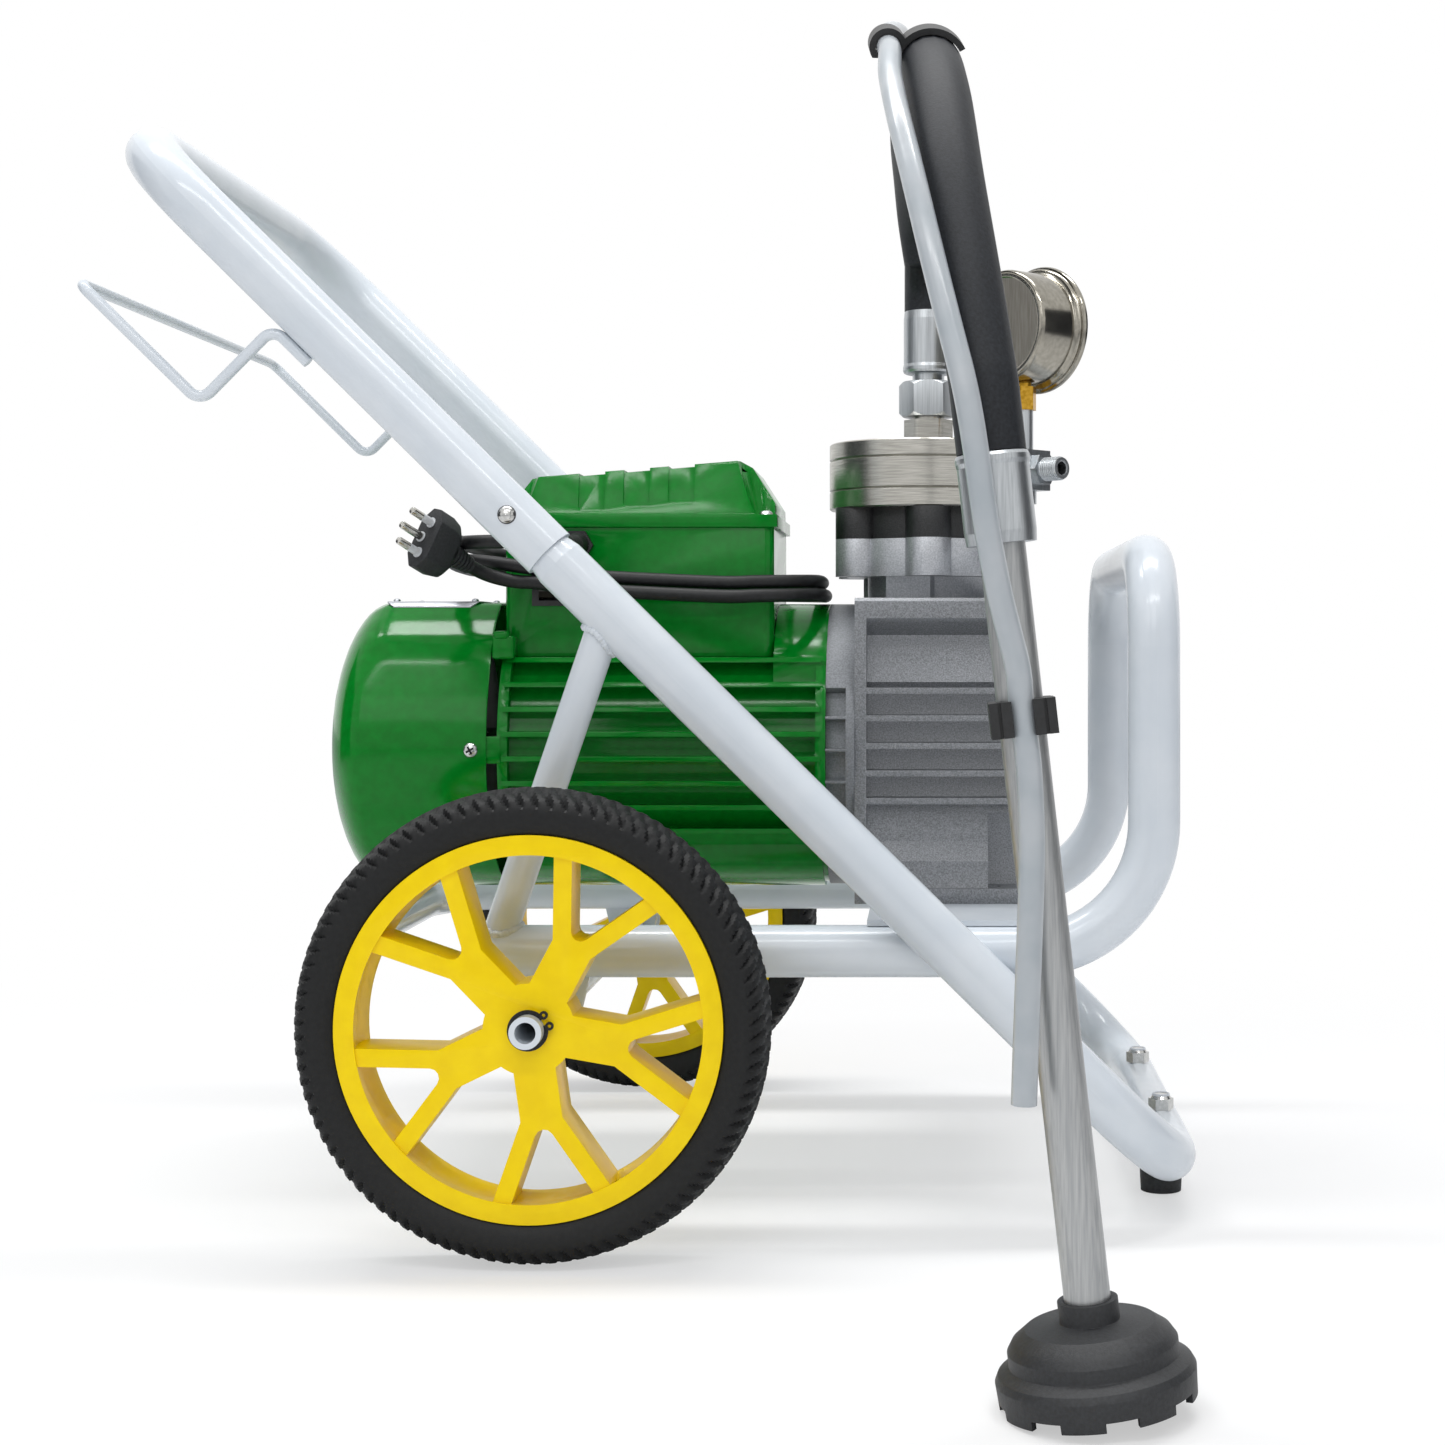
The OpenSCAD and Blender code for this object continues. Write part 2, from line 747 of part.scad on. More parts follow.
// laminated core with the winding's end turns standing out of both ends
module stator() {
    end_turns = 22;
    color([0.55, 0.33, 0.16]) placed() along_x(core_from, 0, motor_h) difference() {
        union() {
            cylinder(h = core_len, r = bore_r);
            translate([0, 0, -end_turns]) cylinder(h = core_len + 2 * end_turns, r = bore_r - 9);
        }
        translate([0, 0, -end_turns - 1]) cylinder(h = core_len + 2 * end_turns + 2, r = rotor_r + 0.5);
    }
}

module rotor() {
    color("silver") placed() along_x(core_from, 0, motor_h) difference() {
        cylinder(h = core_len, r = rotor_r);
        translate([0, 0, -1]) cylinder(h = core_len + 2, d = shaft_d);
    }
}

module drive_shaft() {
    from = cowl_front - 54;
    color("lightsteelblue") placed() {
        along_x(from, 0, motor_h) cylinder(h = house_front - 9 - from, d = shaft_d);
        along_x(head_x - 11, 0, motor_h - throw) cylinder(h = 22, r = eccentric_r);
    }
}

module bearing_ring(x) {
    along_x(x, 0, motor_h) difference() {
        cylinder(h = 12, r = bearing_r);
        translate([0, 0, -1]) cylinder(h = 14, r = shaft_d / 2 + axle_fit);
    }
}

module bearings() {
    color("silver") placed() {
        bearing_ring(motor_back + 2);
        bearing_ring(adapter_to - 12);
        bearing_ring(house_front - 20);
    }
}

module cooling_fan() {
    hub_x = cowl_front - 50;
    color([0.15, 0.15, 0.15]) placed() along_x(hub_x, 0, motor_h) difference() {
        union() {
            cylinder(h = 30, r = 22);
            translate([0, 0, 26]) cylinder(h = 4, r = 66);
            for (i = [0:8]) rotate(40 * i) translate([20, -1.5, 2]) cube([46, 3, 25]);
        }
        translate([0, 0, -1]) cylinder(h = 32, d = shaft_d);
    }
}

// cowl section: a round drum with flat facets either side of its top, y sideways and z up
module cowl_section(inset) {
    r = motor_r - inset;
    side = [[82, 33.3], [74, 53], [66.5, 66.5], [54, 78], [40, 87.5]];
    circle(r = r, $fn = 96);
    polygon([for (p = side) [p[0] * r / motor_r, p[1] * r / motor_r],
        for (i = [4:-1:0]) [-side[i][0] * r / motor_r, side[i][1] * r / motor_r]]);
}

module fan_cowl() {
    color(green) placed() difference() {
        union() {
            along_x(cowl_back, 0, motor_h) linear_extrude(cowl_len) cowl_section(0);
            along_x(cowl_back, 0, motor_h) mirror([0, 0, 1]) dome(motor_r - 0.5, cowl_dome);
        }
        along_x(cowl_back, 0, motor_h) translate([0, 0, -eps])
            linear_extrude(cowl_len + 1) cowl_section(cowl_wall);
        along_x(cowl_back, 0, motor_h) mirror([0, 0, 1])
            dome(motor_r - 0.5 - cowl_wall, cowl_dome - cowl_wall);
        cowl_slots();
        cowl_screw_holes(screw_d + 2 * slip);
    }
}

module cowl_slots() {
    for (i = [-5:5]) let (half = sqrt(62 * 62 - i * i * 100) - 2)
        translate([cowl_back - cowl_dome - 1, i * 10 - 2, motor_h - half])
            cube([cowl_dome + 1, 4, 2 * half]);
}

module cowl_screw_holes(d) {
    both_sides() along_y(cowl_screw_x, 40, cowl_screw_z) cylinder(h = motor_r, d = d);
}

module cover_screws() {
    color("silver") placed() {
        both_sides() along_y(cowl_screw_x, motor_r - 9, cowl_screw_z) {
            cylinder(h = 9.1, d = screw_d);
            translate([0, 0, 9.05]) dome(4.5, 2.6);
        }
        at_lid_screws() {
            translate([0, 0, -12]) cylinder(h = 12 + skirt_h, d = screw_d);
            translate([0, 0, skirt_h]) dome(4.4, 2.8);
        }
    }
}

// ---------------------------------------------------------------- control box

module box_outline(inset) {
    r = 6;
    translate([motor_back + r, -box_w / 2 + r]) round_rect(box_len - 2 * r, box_w - 2 * r, r - inset);
}

// rectangle with true round corners of radius r outside a core of w by d
module round_rect(w, d, r) {
    for (x = [0, w]) for (y = [0, d]) translate([x, y]) circle(r = r);
    translate([-r, 0]) square([w + 2 * r, d]);
    translate([0, -r]) square([w, d + 2 * r]);
}

module at_lid_screws() {
    for (x = [motor_back + lid_screw_in, box_front - lid_screw_in]) both_sides()
        translate([x, box_w / 2 - lid_screw_in, box_top]) children();
}

module control_box() {
    color(green) placed() difference() {
        translate([0, 0, box_floor]) linear_extrude(box_top - box_floor) box_outline(0);
        difference() {
            translate([0, 0, saddle_top + 3]) linear_extrude(box_top) box_outline(box_wall);
            at_lid_screws() translate([0, 0, -60]) cylinder(h = 60, d = 11);
        }
        at_lid_screws() translate([0, 0, -14]) cylinder(h = 20, d = screw_d + slip);
        along_x(motor_back - 1, 0, motor_h) cylinder(h = motor_len, r = core_r + gap);
        along_x(motor_back - 1, 0, motor_h) cylinder(h = band_len + 1 + gap, r = band_r + gap);
        saddle_cut();
        wire_way();
        along_y(gland_x, -box_w / 2 - 1, gland_z) cylinder(h = 12, d = gland_thread + 2 * slip);
        translate([switch_x - switch_w / 2 + 2, -box_w / 2 - 4, switch_z - switch_h / 2 + 2])
            cube([switch_w - 4, 10, switch_h - 4]);
    }
}

// where the motor's saddle stands inside the box's floor
module saddle_cut() {
    translate([motor_back + 4 - gap, -saddle_w / 2 - gap, box_floor - 20])
        cube([box_len - 12 + 2 * gap, saddle_w + 2 * gap, saddle_top - box_floor + 20 + gap]);
}

module switch_bezel() {
    color([0.1, 0.1, 0.1]) placed() difference() {
        union() {
            translate([switch_x - switch_w / 2, -box_w / 2 - 2, switch_z - switch_h / 2])
                cube([switch_w, 2, switch_h]);
            translate([switch_x - switch_w / 2 + 2 + slip, -box_w / 2 - 2,
                switch_z - switch_h / 2 + 2 + slip])
                cube([switch_w - 4 - 2 * slip, 20, switch_h - 4 - 2 * slip]);
        }
        translate([switch_x - rocker_w / 2 - gap, -box_w / 2 - 3, switch_z - rocker_r - 1.1])
            cube([rocker_w + 2 * gap, 17, 2 * rocker_r + 2.2]);
        translate([switch_x, switch_y, switch_z]) rotate([0, 90, 0])
            cylinder(h = rocker_w + 2.4, r = pivot_r + axle_fit, center = true);
    }
}

// rocker with a round back and two end pivots, drawn with its upper half pressed in
module rocker_switch() {
    color([0.16, 0.15, 0.1]) placed() translate([switch_x, switch_y, switch_z])
        rotate([-rocker_tilt, 0, 0]) rotate([0, 90, 0]) {
            linear_extrude(rocker_w, center = true) {
                circle(r = rocker_r);
                polygon([[-rocker_r, 0], [-rocker_r, -6.6], [0, -4.9], [rocker_r, -6.6], [rocker_r, 0]]);
            }
            cylinder(h = rocker_w + 2.2, r = pivot_r, center = true);
        }
}

module cable_gland() {
    color([0.1, 0.1, 0.1]) placed() along_y(gland_x, -box_w / 2 + box_wall, gland_z) mirror([0, 0, 1])
        difference() {
            union() {
                translate([0, 0, -5]) cylinder(h = 5 + box_wall, d = gland_thread);
                translate([0, 0, box_wall]) hexagon(17, 4);
                translate([0, 0, box_wall + 4]) cylinder(h = 7, d1 = 15, d2 = 11);
                translate([0, 0, -4]) hexagon(17, 4);
            }
            translate([0, 0, -9]) cylinder(h = 24, d = cord_d + 2 * slip);
        }
}

// lid: skirt, sloping top with pressed pockets, leaning ends, relieved corners for its screws
module box_lid() {
    color(green) placed() difference() {
        union() {
            difference() {
                union() {
                    translate([0, 0, box_top]) linear_extrude(skirt_h) lid_base(lid_over);
                    lid_prism(0);
                }
                lid_pockets();
                translate([0, 0, box_top - eps]) linear_extrude(2.4) lid_base(-1);
                lid_prism(lid_wall + pocket_depth);
            }
            intersection() {
                lid_prism(0);
                at_lid_screws() lid_relief(lid_wall);
            }
        }
        at_lid_screws() {
            translate([0, 0, skirt_h]) lid_relief(0);
            translate([0, 0, -1]) cylinder(h = 30, d = screw_d + 2 * slip);
        }
    }
}

module lid_base(out) {
    translate([motor_back - out, -box_w / 2 - out]) square([box_len + 2 * out, box_w + 2 * out]);
}

// flaring room over a lid screw
module lid_relief(out) {
    cylinder(h = 34, r1 = 7.5 + out, r2 = 18 + out);
}

lid_peak = box_front - 21;
lid_rear = motor_back + 14;

// side view of the lid, extruded over the width and trimmed by leaning sides
module lid_prism(inset) {
    tall = lid_high + 2;
    lean = 8;
    low = box_top - (inset > 0 ? 1 : 0);
    intersection() {
        rotate([90, 0, 0]) linear_extrude(box_w, center = true) polygon([
            [motor_back + 1 + inset, low],
            [motor_back + 1 + inset, box_top + 14],
            [lid_rear + inset, box_top + lid_low - inset],
            [lid_peak, box_top + lid_high - inset],
            [lid_peak + 7 - inset / 2, box_top + lid_high - 3.6 - inset],
            [box_front - inset, box_top + 15],
            [box_front - inset, low]]);
        along_x(motor_back - 1, 0, 0) linear_extrude(box_len + 2) polygon([
            [-box_w / 2 + inset, box_top - 1], [-box_w / 2 + inset, box_top + skirt_h],
            [-box_w / 2 + lean + inset, box_top + tall - inset],
            [box_w / 2 - lean - inset, box_top + tall - inset],
            [box_w / 2 - inset, box_top + skirt_h], [box_w / 2 - inset, box_top - 1]]);
    }
}

// U-shaped pockets over the top and part of the way down both sides
module lid_pockets() {
    w = 15.6;
    pitch = 27;
    first = lid_rear + 38;
    difference() {
        for (i = [0:2]) translate([first + pitch * i, 0, box_top + 19 + i * 2.3]) rotate([90, 0, 0])
            linear_extrude(box_w, center = true) {
                translate([-w / 2, -6]) square([w, 40]);
                translate([-w / 2 + 4, -10]) square([w - 8, 40]);
                for (x = [-w / 2 + 4, w / 2 - 4]) translate([x, -6]) circle(r = 4);
            }
        lid_prism(pocket_depth);
    }
}

// ---------------------------------------------------------------- power cord

// racetrack wound round the control box, top turn first
cord_turns = 2;
cord_steps = 24;
wind_x = (motor_back + box_front) / 2 + 2;
wind_half = [box_len / 2 + 30, box_w / 2 + 14];
wind_pitch = 10;
wind_top = 373;
wind_start = 252;
function wind_power(c) = sign(c) * sqrt(abs(c));
function wind_at(turned) = [wind_x + wind_half[0] * wind_power(cos(wind_start - turned)),
    wind_half[1] * wind_power(sin(wind_start - turned)), wind_top - wind_pitch * turned / 360];
wind_path = [for (i = [0:cord_turns * cord_steps]) wind_at(360 / cord_steps * i)];
wind_gap = min([for (i = [0:cord_steps]) norm(wind_path[i + cord_steps] - wind_path[i])]) - cord_d;
echo(least_gap_between_cord_turns = wind_gap);

module cord_winding() {
    color([0.09, 0.09, 0.09]) placed() swept(wind_path, cord_d / 2, 6, [0, 0, 1]);
}

// plug: pins along plug_out, the row of pins along plug_row
plug_face = [-293, -122, 385];
plug_out = unit([-0.49, -0.78, 0.386]);
plug_row = unit(cross(cross(plug_out, [0.355, 0.225, 0.907]), plug_out));
plug_neck = 40;
plug_body = 22;
cord_break = unit([-247, -75, 354] - wind_at(360 * cord_turns)) * 0.7;
gland_mouth = [gland_x, -box_w / 2 - 11, gland_z];
lead_out = [gland_mouth, gland_mouth + [0, -8, 0], [-214, -87, 383], [-221, -90, 380],
    wind_at(0) + [8, -4, 2], wind_at(0) + [0.8, -0.3, 0.1]];
lead_in = [wind_at(360 * cord_turns) + cord_break, [-247, -75, 354], [-258, -77.5, 358],
    plug_face - plug_out * (plug_neck + cord_d), plug_face - plug_out * (plug_neck + 0.5)];

module power_cord() {
    color([0.09, 0.09, 0.09]) placed() {
        swept(smooth(lead_out, 2), cord_d / 2, 8, [0, 0, 1]);
        swept(smooth(lead_in, 2), cord_d / 2, 8, [0, 0, 1]);
    }
}

module plug() {
    pin_d = 4.8;
    color([0.09, 0.09, 0.09]) placed()
        on_axes(plug_row, cross(plug_out, plug_row), plug_out, plug_face) {
            translate([0, 0, -plug_body]) linear_extrude(plug_body) polygon([[18.5, -3], [18.5, 3],
                [11, 8.5], [-11, 8.5], [-18.5, 3], [-18.5, -3], [-11, -8.5], [11, -8.5]]);
            translate([0, 0, -plug_neck]) cylinder(h = plug_neck - plug_body, d1 = 10, d2 = 15);
            for (p = [[-9.5, 0], [0, 3], [9.5, 0]]) translate([p[0], p[1], 0]) {
                cylinder(h = 18, d = pin_d);
                translate([0, 0, 18]) cylinder(h = 1, d1 = pin_d, d2 = pin_d - 1.6);
            }
        }
}

// ---------------------------------------------------------------- gear housing and head

silver = [0.63, 0.64, 0.66];

module adapter_flange() {
    color([0.56, 0.57, 0.59]) placed() difference() {
        union() {
            along_x(motor_front, 0, motor_h) cylinder(h = adapter_len, r = motor_r - 1);
            along_x(motor_front, 0, motor_h) mirror([0, 0, 1]) cylinder(h = 6, r = bore_r);
        }
        adapter_pockets();
        along_x(motor_front - 7, 0, motor_h) cylinder(h = 12, r = bore_r - 8);
        along_x(adapter_to - 12, 0, motor_h) cylinder(h = 14, r = bearing_r);
        along_x(motor_front - 7, 0, motor_h) cylinder(h = 40, r = shaft_d / 2 + 1);
    }
}

// open pockets down both sides of the flange, with thin webs left between them
module adapter_pockets() {
    pitch = 12.6;
    web = 1.6;
    low = motor_r - 9;
    high = motor_r + 3;
    half = [for (r = [low, high]) r * tan(pitch / 2) - web / 2];
    for (i = [0:5]) both_sides() along_x(motor_front - 1, 0, motor_h) rotate(pitch * (1.5 - i))
        linear_extrude(adapter_len - 4.4) polygon([[low, -half[0]], [high, -half[1]],
            [high, half[1]], [low, half[0]]]);
}

function rib_z(i) = 297 - 16.3 * i;

// side profile of the casting, y to the left and z up, one half
function house_side() = let (w = house_w / 2, base = plate_top) [[w, base], [w, base + 9],
    [w - 3, base + 9], [w - 3, base + 25], [w - 11, base + 36], [w - 11, base + 50],
    [w - 13, base + 57], [w - 13, 297], [w - 10, 302], [w - 14, 311], [w - 15, 330],
    [w - 4, 337], [w, 340], [w, house_top - 2], [w - 2, house_top]];

module gear_housing() {
    profile = house_side();
    last = len(profile) - 1;
    color(silver) placed() difference() {
        union() {
            along_x(house_back, 0, 0) linear_extrude(house_len)
                polygon([for (p = profile) p, for (i = [last:-1:0]) [-profile[i][0], profile[i][1]]]);
            for (x = [house_back, house_front - 7]) house_frame(x);
            for (i = [0:4]) translate([house_back, -house_w / 2, rib_z(i) - 1.8])
                cube([house_len, house_w, 3.6]);
        }
        foot_pockets();
        along_x(house_back - 1, 0, motor_h) cylinder(h = house_len - 8, r = cavity_r);
        along_x(house_front - 20, 0, motor_h) cylinder(h = 12, r = bearing_r);
        translate([head_x, 0, motor_h]) cylinder(h = 200, r = plunger_d / 2 + 0.05);
        plate_bolts() cylinder(h = 12, d = bolt_d + 2 * slip);
    }
}

// flat end frame that the ribs run into
module house_frame(x) {
    translate([x, -house_w / 2, plate_top]) cube([7, house_w, house_top - plate_top - 4]);
}

module foot_pockets() {
    both_sides() translate([house_front - 24, house_w / 2 - 26, plate_top + 9])
        cube([40, 30, 44]);
}

module head_bolt_holes(from, h) {
    translate([head_x, 0, 0]) ring_bolts(bolt_ring, from, h, bolt_d / 2 + slip);
}

module plunger() {
    color("lightsteelblue") placed() translate([head_x, 0, 0]) {
        translate([0, 0, plunger_foot]) cylinder(h = foot_t, r = 15);
        translate([0, 0, plunger_foot + foot_t]) cylinder(h = 74, d = plunger_d);
    }
}

// coil spring between the plunger's foot and the housing's ceiling
spring_turns = 5;
spring_from = plunger_foot + foot_t + spring_wire / 2 + 0.2;
spring_to = ceiling - spring_wire / 2 - 1.2;
spring_path = [for (i = [0:spring_turns * 12]) let (t = i / 12 / spring_turns)
    [head_x + spring_r * cos(30 * i), spring_r * sin(30 * i), spring_from + (spring_to - spring_from) * t]];

module plunger_spring() {
    color("slategray") placed() swept(spring_path, spring_wire / 2, 6, [0, 0, 1]);
}

// disc with a boss at each head bolt
module lobed(from, to, core) {
    translate([head_x, 0, from]) cylinder(h = to - from, r = core);
    translate([head_x, 0, 0]) ring_bolts(lobe_ring, from, to - from, lobe_r);
}

module head_flange() {
    color(silver) placed() difference() {
        union() {
            lobed(neck_top, flange_top, bolt_ring + 5);
            translate([head_x, 0, house_top]) {
                cylinder(h = neck_top - house_top + 2, r = neck_r);
                for (i = [0:2]) rotate(120 * i - 106) translate([neck_r - 8, -14, 0])
                    cube([15, 28, neck_top - house_top + 2]);
            }
        }
        translate([head_x, 0, house_top - 1]) cylinder(h = 60, r = plunger_d / 2 + 0.05);
        translate([head_x, 0, flange_top - 8]) cylinder(h = 10, r = 30);
        head_bolt_holes(neck_top + 3, 60);
    }
}

module head_spacer() {
    color([0.09, 0.09, 0.09]) placed() difference() {
        lobed(flange_top, spacer_top, bolt_ring + 3);
        translate([head_x, 0, flange_top - 1]) cylinder(h = 40, r = 30);
        head_bolt_holes(flange_top - 1, 40);
    }
}

module diaphragm() {
    color([0.2, 0.2, 0.2]) placed() translate([head_x, 0, spacer_top]) cylinder(h = 1.5, r = 36);
}

module head_disc(from, to) {
    chamfer = 0.8;
    difference() {
        translate([head_x, 0, from]) {
            cylinder(h = chamfer, r1 = disc_r - chamfer, r2 = disc_r);
            translate([0, 0, chamfer]) cylinder(h = to - from - 2 * chamfer, r = disc_r);
            translate([0, 0, to - from - chamfer]) cylinder(h = chamfer, r1 = disc_r, r2 = disc_r - chamfer);
        }
        head_bolt_holes(from - 1, 60);
    }
}

module lower_disc() {
    color("silver") placed() difference() {
        head_disc(spacer_top, lower_top);
        translate([head_x, 0, spacer_top - 1]) cylinder(h = 2.5, r = 36);
        translate([head_x, 0, spacer_top]) cylinder(h = 40, r = 20);
    }
}

module middle_disc() {
    color("silver") placed() difference() {
        head_disc(lower_top, middle_top);
        translate([head_x, 0, lower_top - 1]) cylinder(h = 40, r = 14);
        head_ports();
    }
}

// side ports for the gauge manifold and the return valve
module head_ports() {
    translate([head_x, 0, valve_z]) for (turn = [manifold_turn, 90]) rotate([0, 0, turn])
        along_x(disc_r - 14, 0, 0) cylinder(h = 20, r = 5);
}

module upper_disc() {
    color("silver") placed() difference() {
        head_disc(middle_top, upper_top);
        translate([head_x, 0, middle_top - 1]) cylinder(h = 40, r = 12);
        translate([head_x, 0, 0]) ring_bolts(bolt_ring, upper_top - 8, 10, bolt_d / 2 + 2.8);
    }
}

module head_bolts() {
    r = bolt_d / 2;
    color([0.3, 0.3, 0.32]) placed() translate([head_x, 0, 0]) difference() {
        union() {
            ring_bolts(bolt_ring, neck_top + 4, upper_top - neck_top - 11, r);
            ring_bolts(bolt_ring, upper_top - 8, 7.5, r + 2.5);
        }
        for (i = [0:bolt_count - 1]) rotate([0, 0, 360 / bolt_count * i - 90])
            translate([bolt_ring, 0, upper_top - 5]) hexagon(6, 10);
    }
}

module inlet_fitting() {
    color("silver") placed() translate([head_x, 0, 0]) difference() {
        union() {
            translate([0, 0, upper_top - 11]) cylinder(h = 11, r = 12);
            translate([0, 0, upper_top]) cylinder(h = 2, r = 13);
            translate([0, 0, upper_top + 2]) intersection() {
                hexagon(hex_af, hex_top - upper_top - 2);
                cylinder(h = 20, r = hex_af / 2 / cos(30) - 0.8);
            }
            translate([0, 0, hex_top]) cylinder(h = nut_top - hex_top - 2, r = 10);
        }
        translate([0, 0, upper_top - 12]) cylinder(h = 60, r = 6);
    }
}

module swivel_nut() {
    color([0.62, 0.64, 0.66]) placed() translate([head_x, 0, 0]) difference() {
        translate([0, 0, nut_from]) intersection() {
            hexagon(nut_af, nut_top - nut_from);
            union() {
                cylinder(h = 3, r1 = nut_af / 2, r2 = nut_af / 2 + 3);
                translate([0, 0, 3]) cylinder(h = nut_top - nut_from - 6, r = nut_af / 2 + 3);
                translate([0, 0, nut_top - nut_from - 3])
                    cylinder(h = 3, r1 = nut_af / 2 + 3, r2 = nut_af / 2);
            }
        }
        translate([0, 0, nut_from - 1]) cylinder(h = 40, r = 10 + slip);
    }
}

module hose_ferrules() {
    color("silver") placed() {
        translate([head_x, 0, 0]) difference() {
            union() {
                translate([0, 0, nut_top - 2]) cylinder(h = ferrule_from - nut_top + 2, r = 10);
                translate([0, 0, ferrule_from]) ferrule(ferrule_top - ferrule_from);
            }
            translate([0, 0, nut_top - 3]) cylinder(h = 60, r = 6);
        }
        on_pipe() translate([0, 0, pipe_top]) mirror([0, 0, 1]) difference() {
            ferrule(ferrule_len);
            translate([0, 0, 4]) cylinder(h = 60, r = pipe_d / 2);
            translate([0, 0, -1]) cylinder(h = 60, r = 6);
        }
    }
}

// crimped sleeve with a rounded foot and a swaged waist
module ferrule(h) {
    rotate_extrude() polygon([[0, 0], [ferrule_r - 2, 0], [ferrule_r - 0.6, 0.6], [ferrule_r, 2],
        [ferrule_r, 4], [ferrule_r - 0.5, 6], [ferrule_r - 0.5, h - 5], [ferrule_r - 1, h], [0, h]]);
}

// ---------------------------------------------------------------- hoses

module on_pipe() {
    translate(pipe_foot) rotate([0, -pipe_lean, 0]) children();
}

function on_pipe_at(x, y, z) = pipe_foot + [x * cos(pipe_lean) - z * sin(pipe_lean), y,
    x * sin(pipe_lean) + z * cos(pipe_lean)];

suction_end = on_pipe_at(0, 0, pipe_top);
suction_low = on_pipe_at(0, 0, pipe_top + suction_d);
suction_route = [[head_x, 0, ferrule_top], [head_x, 0, ferrule_top + suction_d], [-5, -14, 588],
    [-7, -52, 606], [-8, -110, 615], [-7, -180, 619], [-5, -250, 619], [-3, -305, 611],
    [0, -350, 599], [4, -388, 574], [9, -424, 530], [16, -447, 482], suction_low, suction_end];

module suction_hose() {
    path = [suction_route[0], each smooth([for (i = [1:len(suction_route) - 2]) suction_route[i]], 2),
        suction_end];
    color([0.2, 0.21, 0.22]) placed() swept(path, suction_d / 2, 12, [1, 0, 0]);
}

module suction_tube() {
    color([0.68, 0.69, 0.7]) placed() on_pipe() translate([0, 0, 12]) difference() {
        cylinder(h = pipe_top - 12 - 4, d = pipe_d);
        translate([0, 0, -1]) cylinder(h = pipe_top, d = pipe_d - 3);
    }
}

module strainer() {
    r = strainer_d / 2;
    color([0.13, 0.13, 0.14]) placed() on_pipe() difference() {
        rotate_extrude() polygon([[pipe_d / 2 + slip, 8], [pipe_d / 2 + slip, 43], [13, 43], [13, 34],
            [28, 32.5], [r - 9, 28], [r - 6.5, 24], [r - 6.5, 18], [r - 1.5, 15], [r, 12],
            [r - 0.8, 0], [r - 4, 0], [r - 4, 10], [r - 10, 14], [r - 11, 24], [20, 28.5],
            [14, 29], [14, 8]]);
        for (i = [0:7]) rotate([0, 0, 45 * i + 10]) translate([r - 8, -7, -1]) cube([20, 14, 5]);
    }
}

// frame of the clip on the arch, along the suction hose and towards the return hose
arch_at = suction_route[8];
arch_out = unit(suction_route[9] - suction_route[7]);
arch_side = unit(cross([0, 0, 1], arch_out));
arch_up = cross(arch_out, arch_side);
arch_pitch = [-20.5, 9];
arch_return = arch_at + arch_side * arch_pitch[0] + arch_up * arch_pitch[1];

barb_z = 447;
return_route = [[head_x, disc_r + 16, barb_z], [head_x, disc_r + 16, 470], [-1, 80, 520], [-2, 78, 570],
    [-5, 60, 607], [-8, 25, 627], [-10, -20, 635], [-11, -90, 640], [-12, -160, 643], [-14, -225, 641],
    [-16, -262, 637], [-19, -300, 628], each [for (along = [-20, 0, 20]) arch_return + arch_out * along],
    [-18, -394, 583], [-14, -419, 559], [-10, -435, 540], [-6, -449, 521], [-1, -461, 498], [4, -470, 476],
    [9, -477, 455], [14, -483, 434], [18, -485, 412], [23, -484, 377], [29, -480.5, 346],
    each [for (z = [30, 15, 0, -15]) on_pipe_at(0, -return_off, clip_at + z)],
    [42.5, -478, 245], [42, -480, 222], [41, -481, 194], [40, -481, 165], [39, -481, 134]];

module return_hose() {
    color([0.88, 0.89, 0.88, 0.8]) placed() swept(smooth(return_route, 2), return_d / 2, 8, [1, 0, 0]);
}

// spring clip round the suction tube whose jaws hold the return hose
module tube_clip() {
    jaw = 28;
    color([0.08, 0.08, 0.08]) placed() on_pipe() translate([0, 0, clip_at]) linear_extrude(clip_h)
        difference() {
            union() {
                circle(d = pipe_d + 7);
                translate([-jaw / 2, -return_off - 7]) square([jaw, return_off + 4]);
            }
            circle(d = pipe_d + 2 * slip);
            translate([0, -return_off]) circle(d = return_d + 2 * slip);
            translate([-return_d / 2 + 1, -return_off - 20]) square([return_d - 2, 20]);
            translate([-pipe_d / 2 + 2, 4]) square([pipe_d - 4, 20]);
            for (x = [-9.6, 9.6]) translate([x - 0.7, -return_off - 8]) square([1.4, 3]);
        }
}

// two joined arcs that tie the return hose to the suction hose at the top of the arch
module arch_clip() {
    color([0.08, 0.08, 0.08]) placed() on_axes(arch_side, arch_up, arch_out, arch_at)
        linear_extrude(14, center = true) difference() {
            union() {
                circle(d = suction_d + 6.6);
                translate(arch_pitch) circle(d = return_d + 6.6);
            }
            circle(d = suction_d + 2 * gap);
            translate(arch_pitch) circle(d = return_d + 2 * gap);
            translate([-30, -40]) square([60, 44]);
            rotate(-60) translate([0, 0]) square([30, 60]);
        }
}

// ---------------------------------------------------------------- valves and gauge

module at_manifold() {
    translate([head_x, 0, 0]) rotate([0, 0, manifold_turn]) translate([block_at, 0, 0]) children();
}

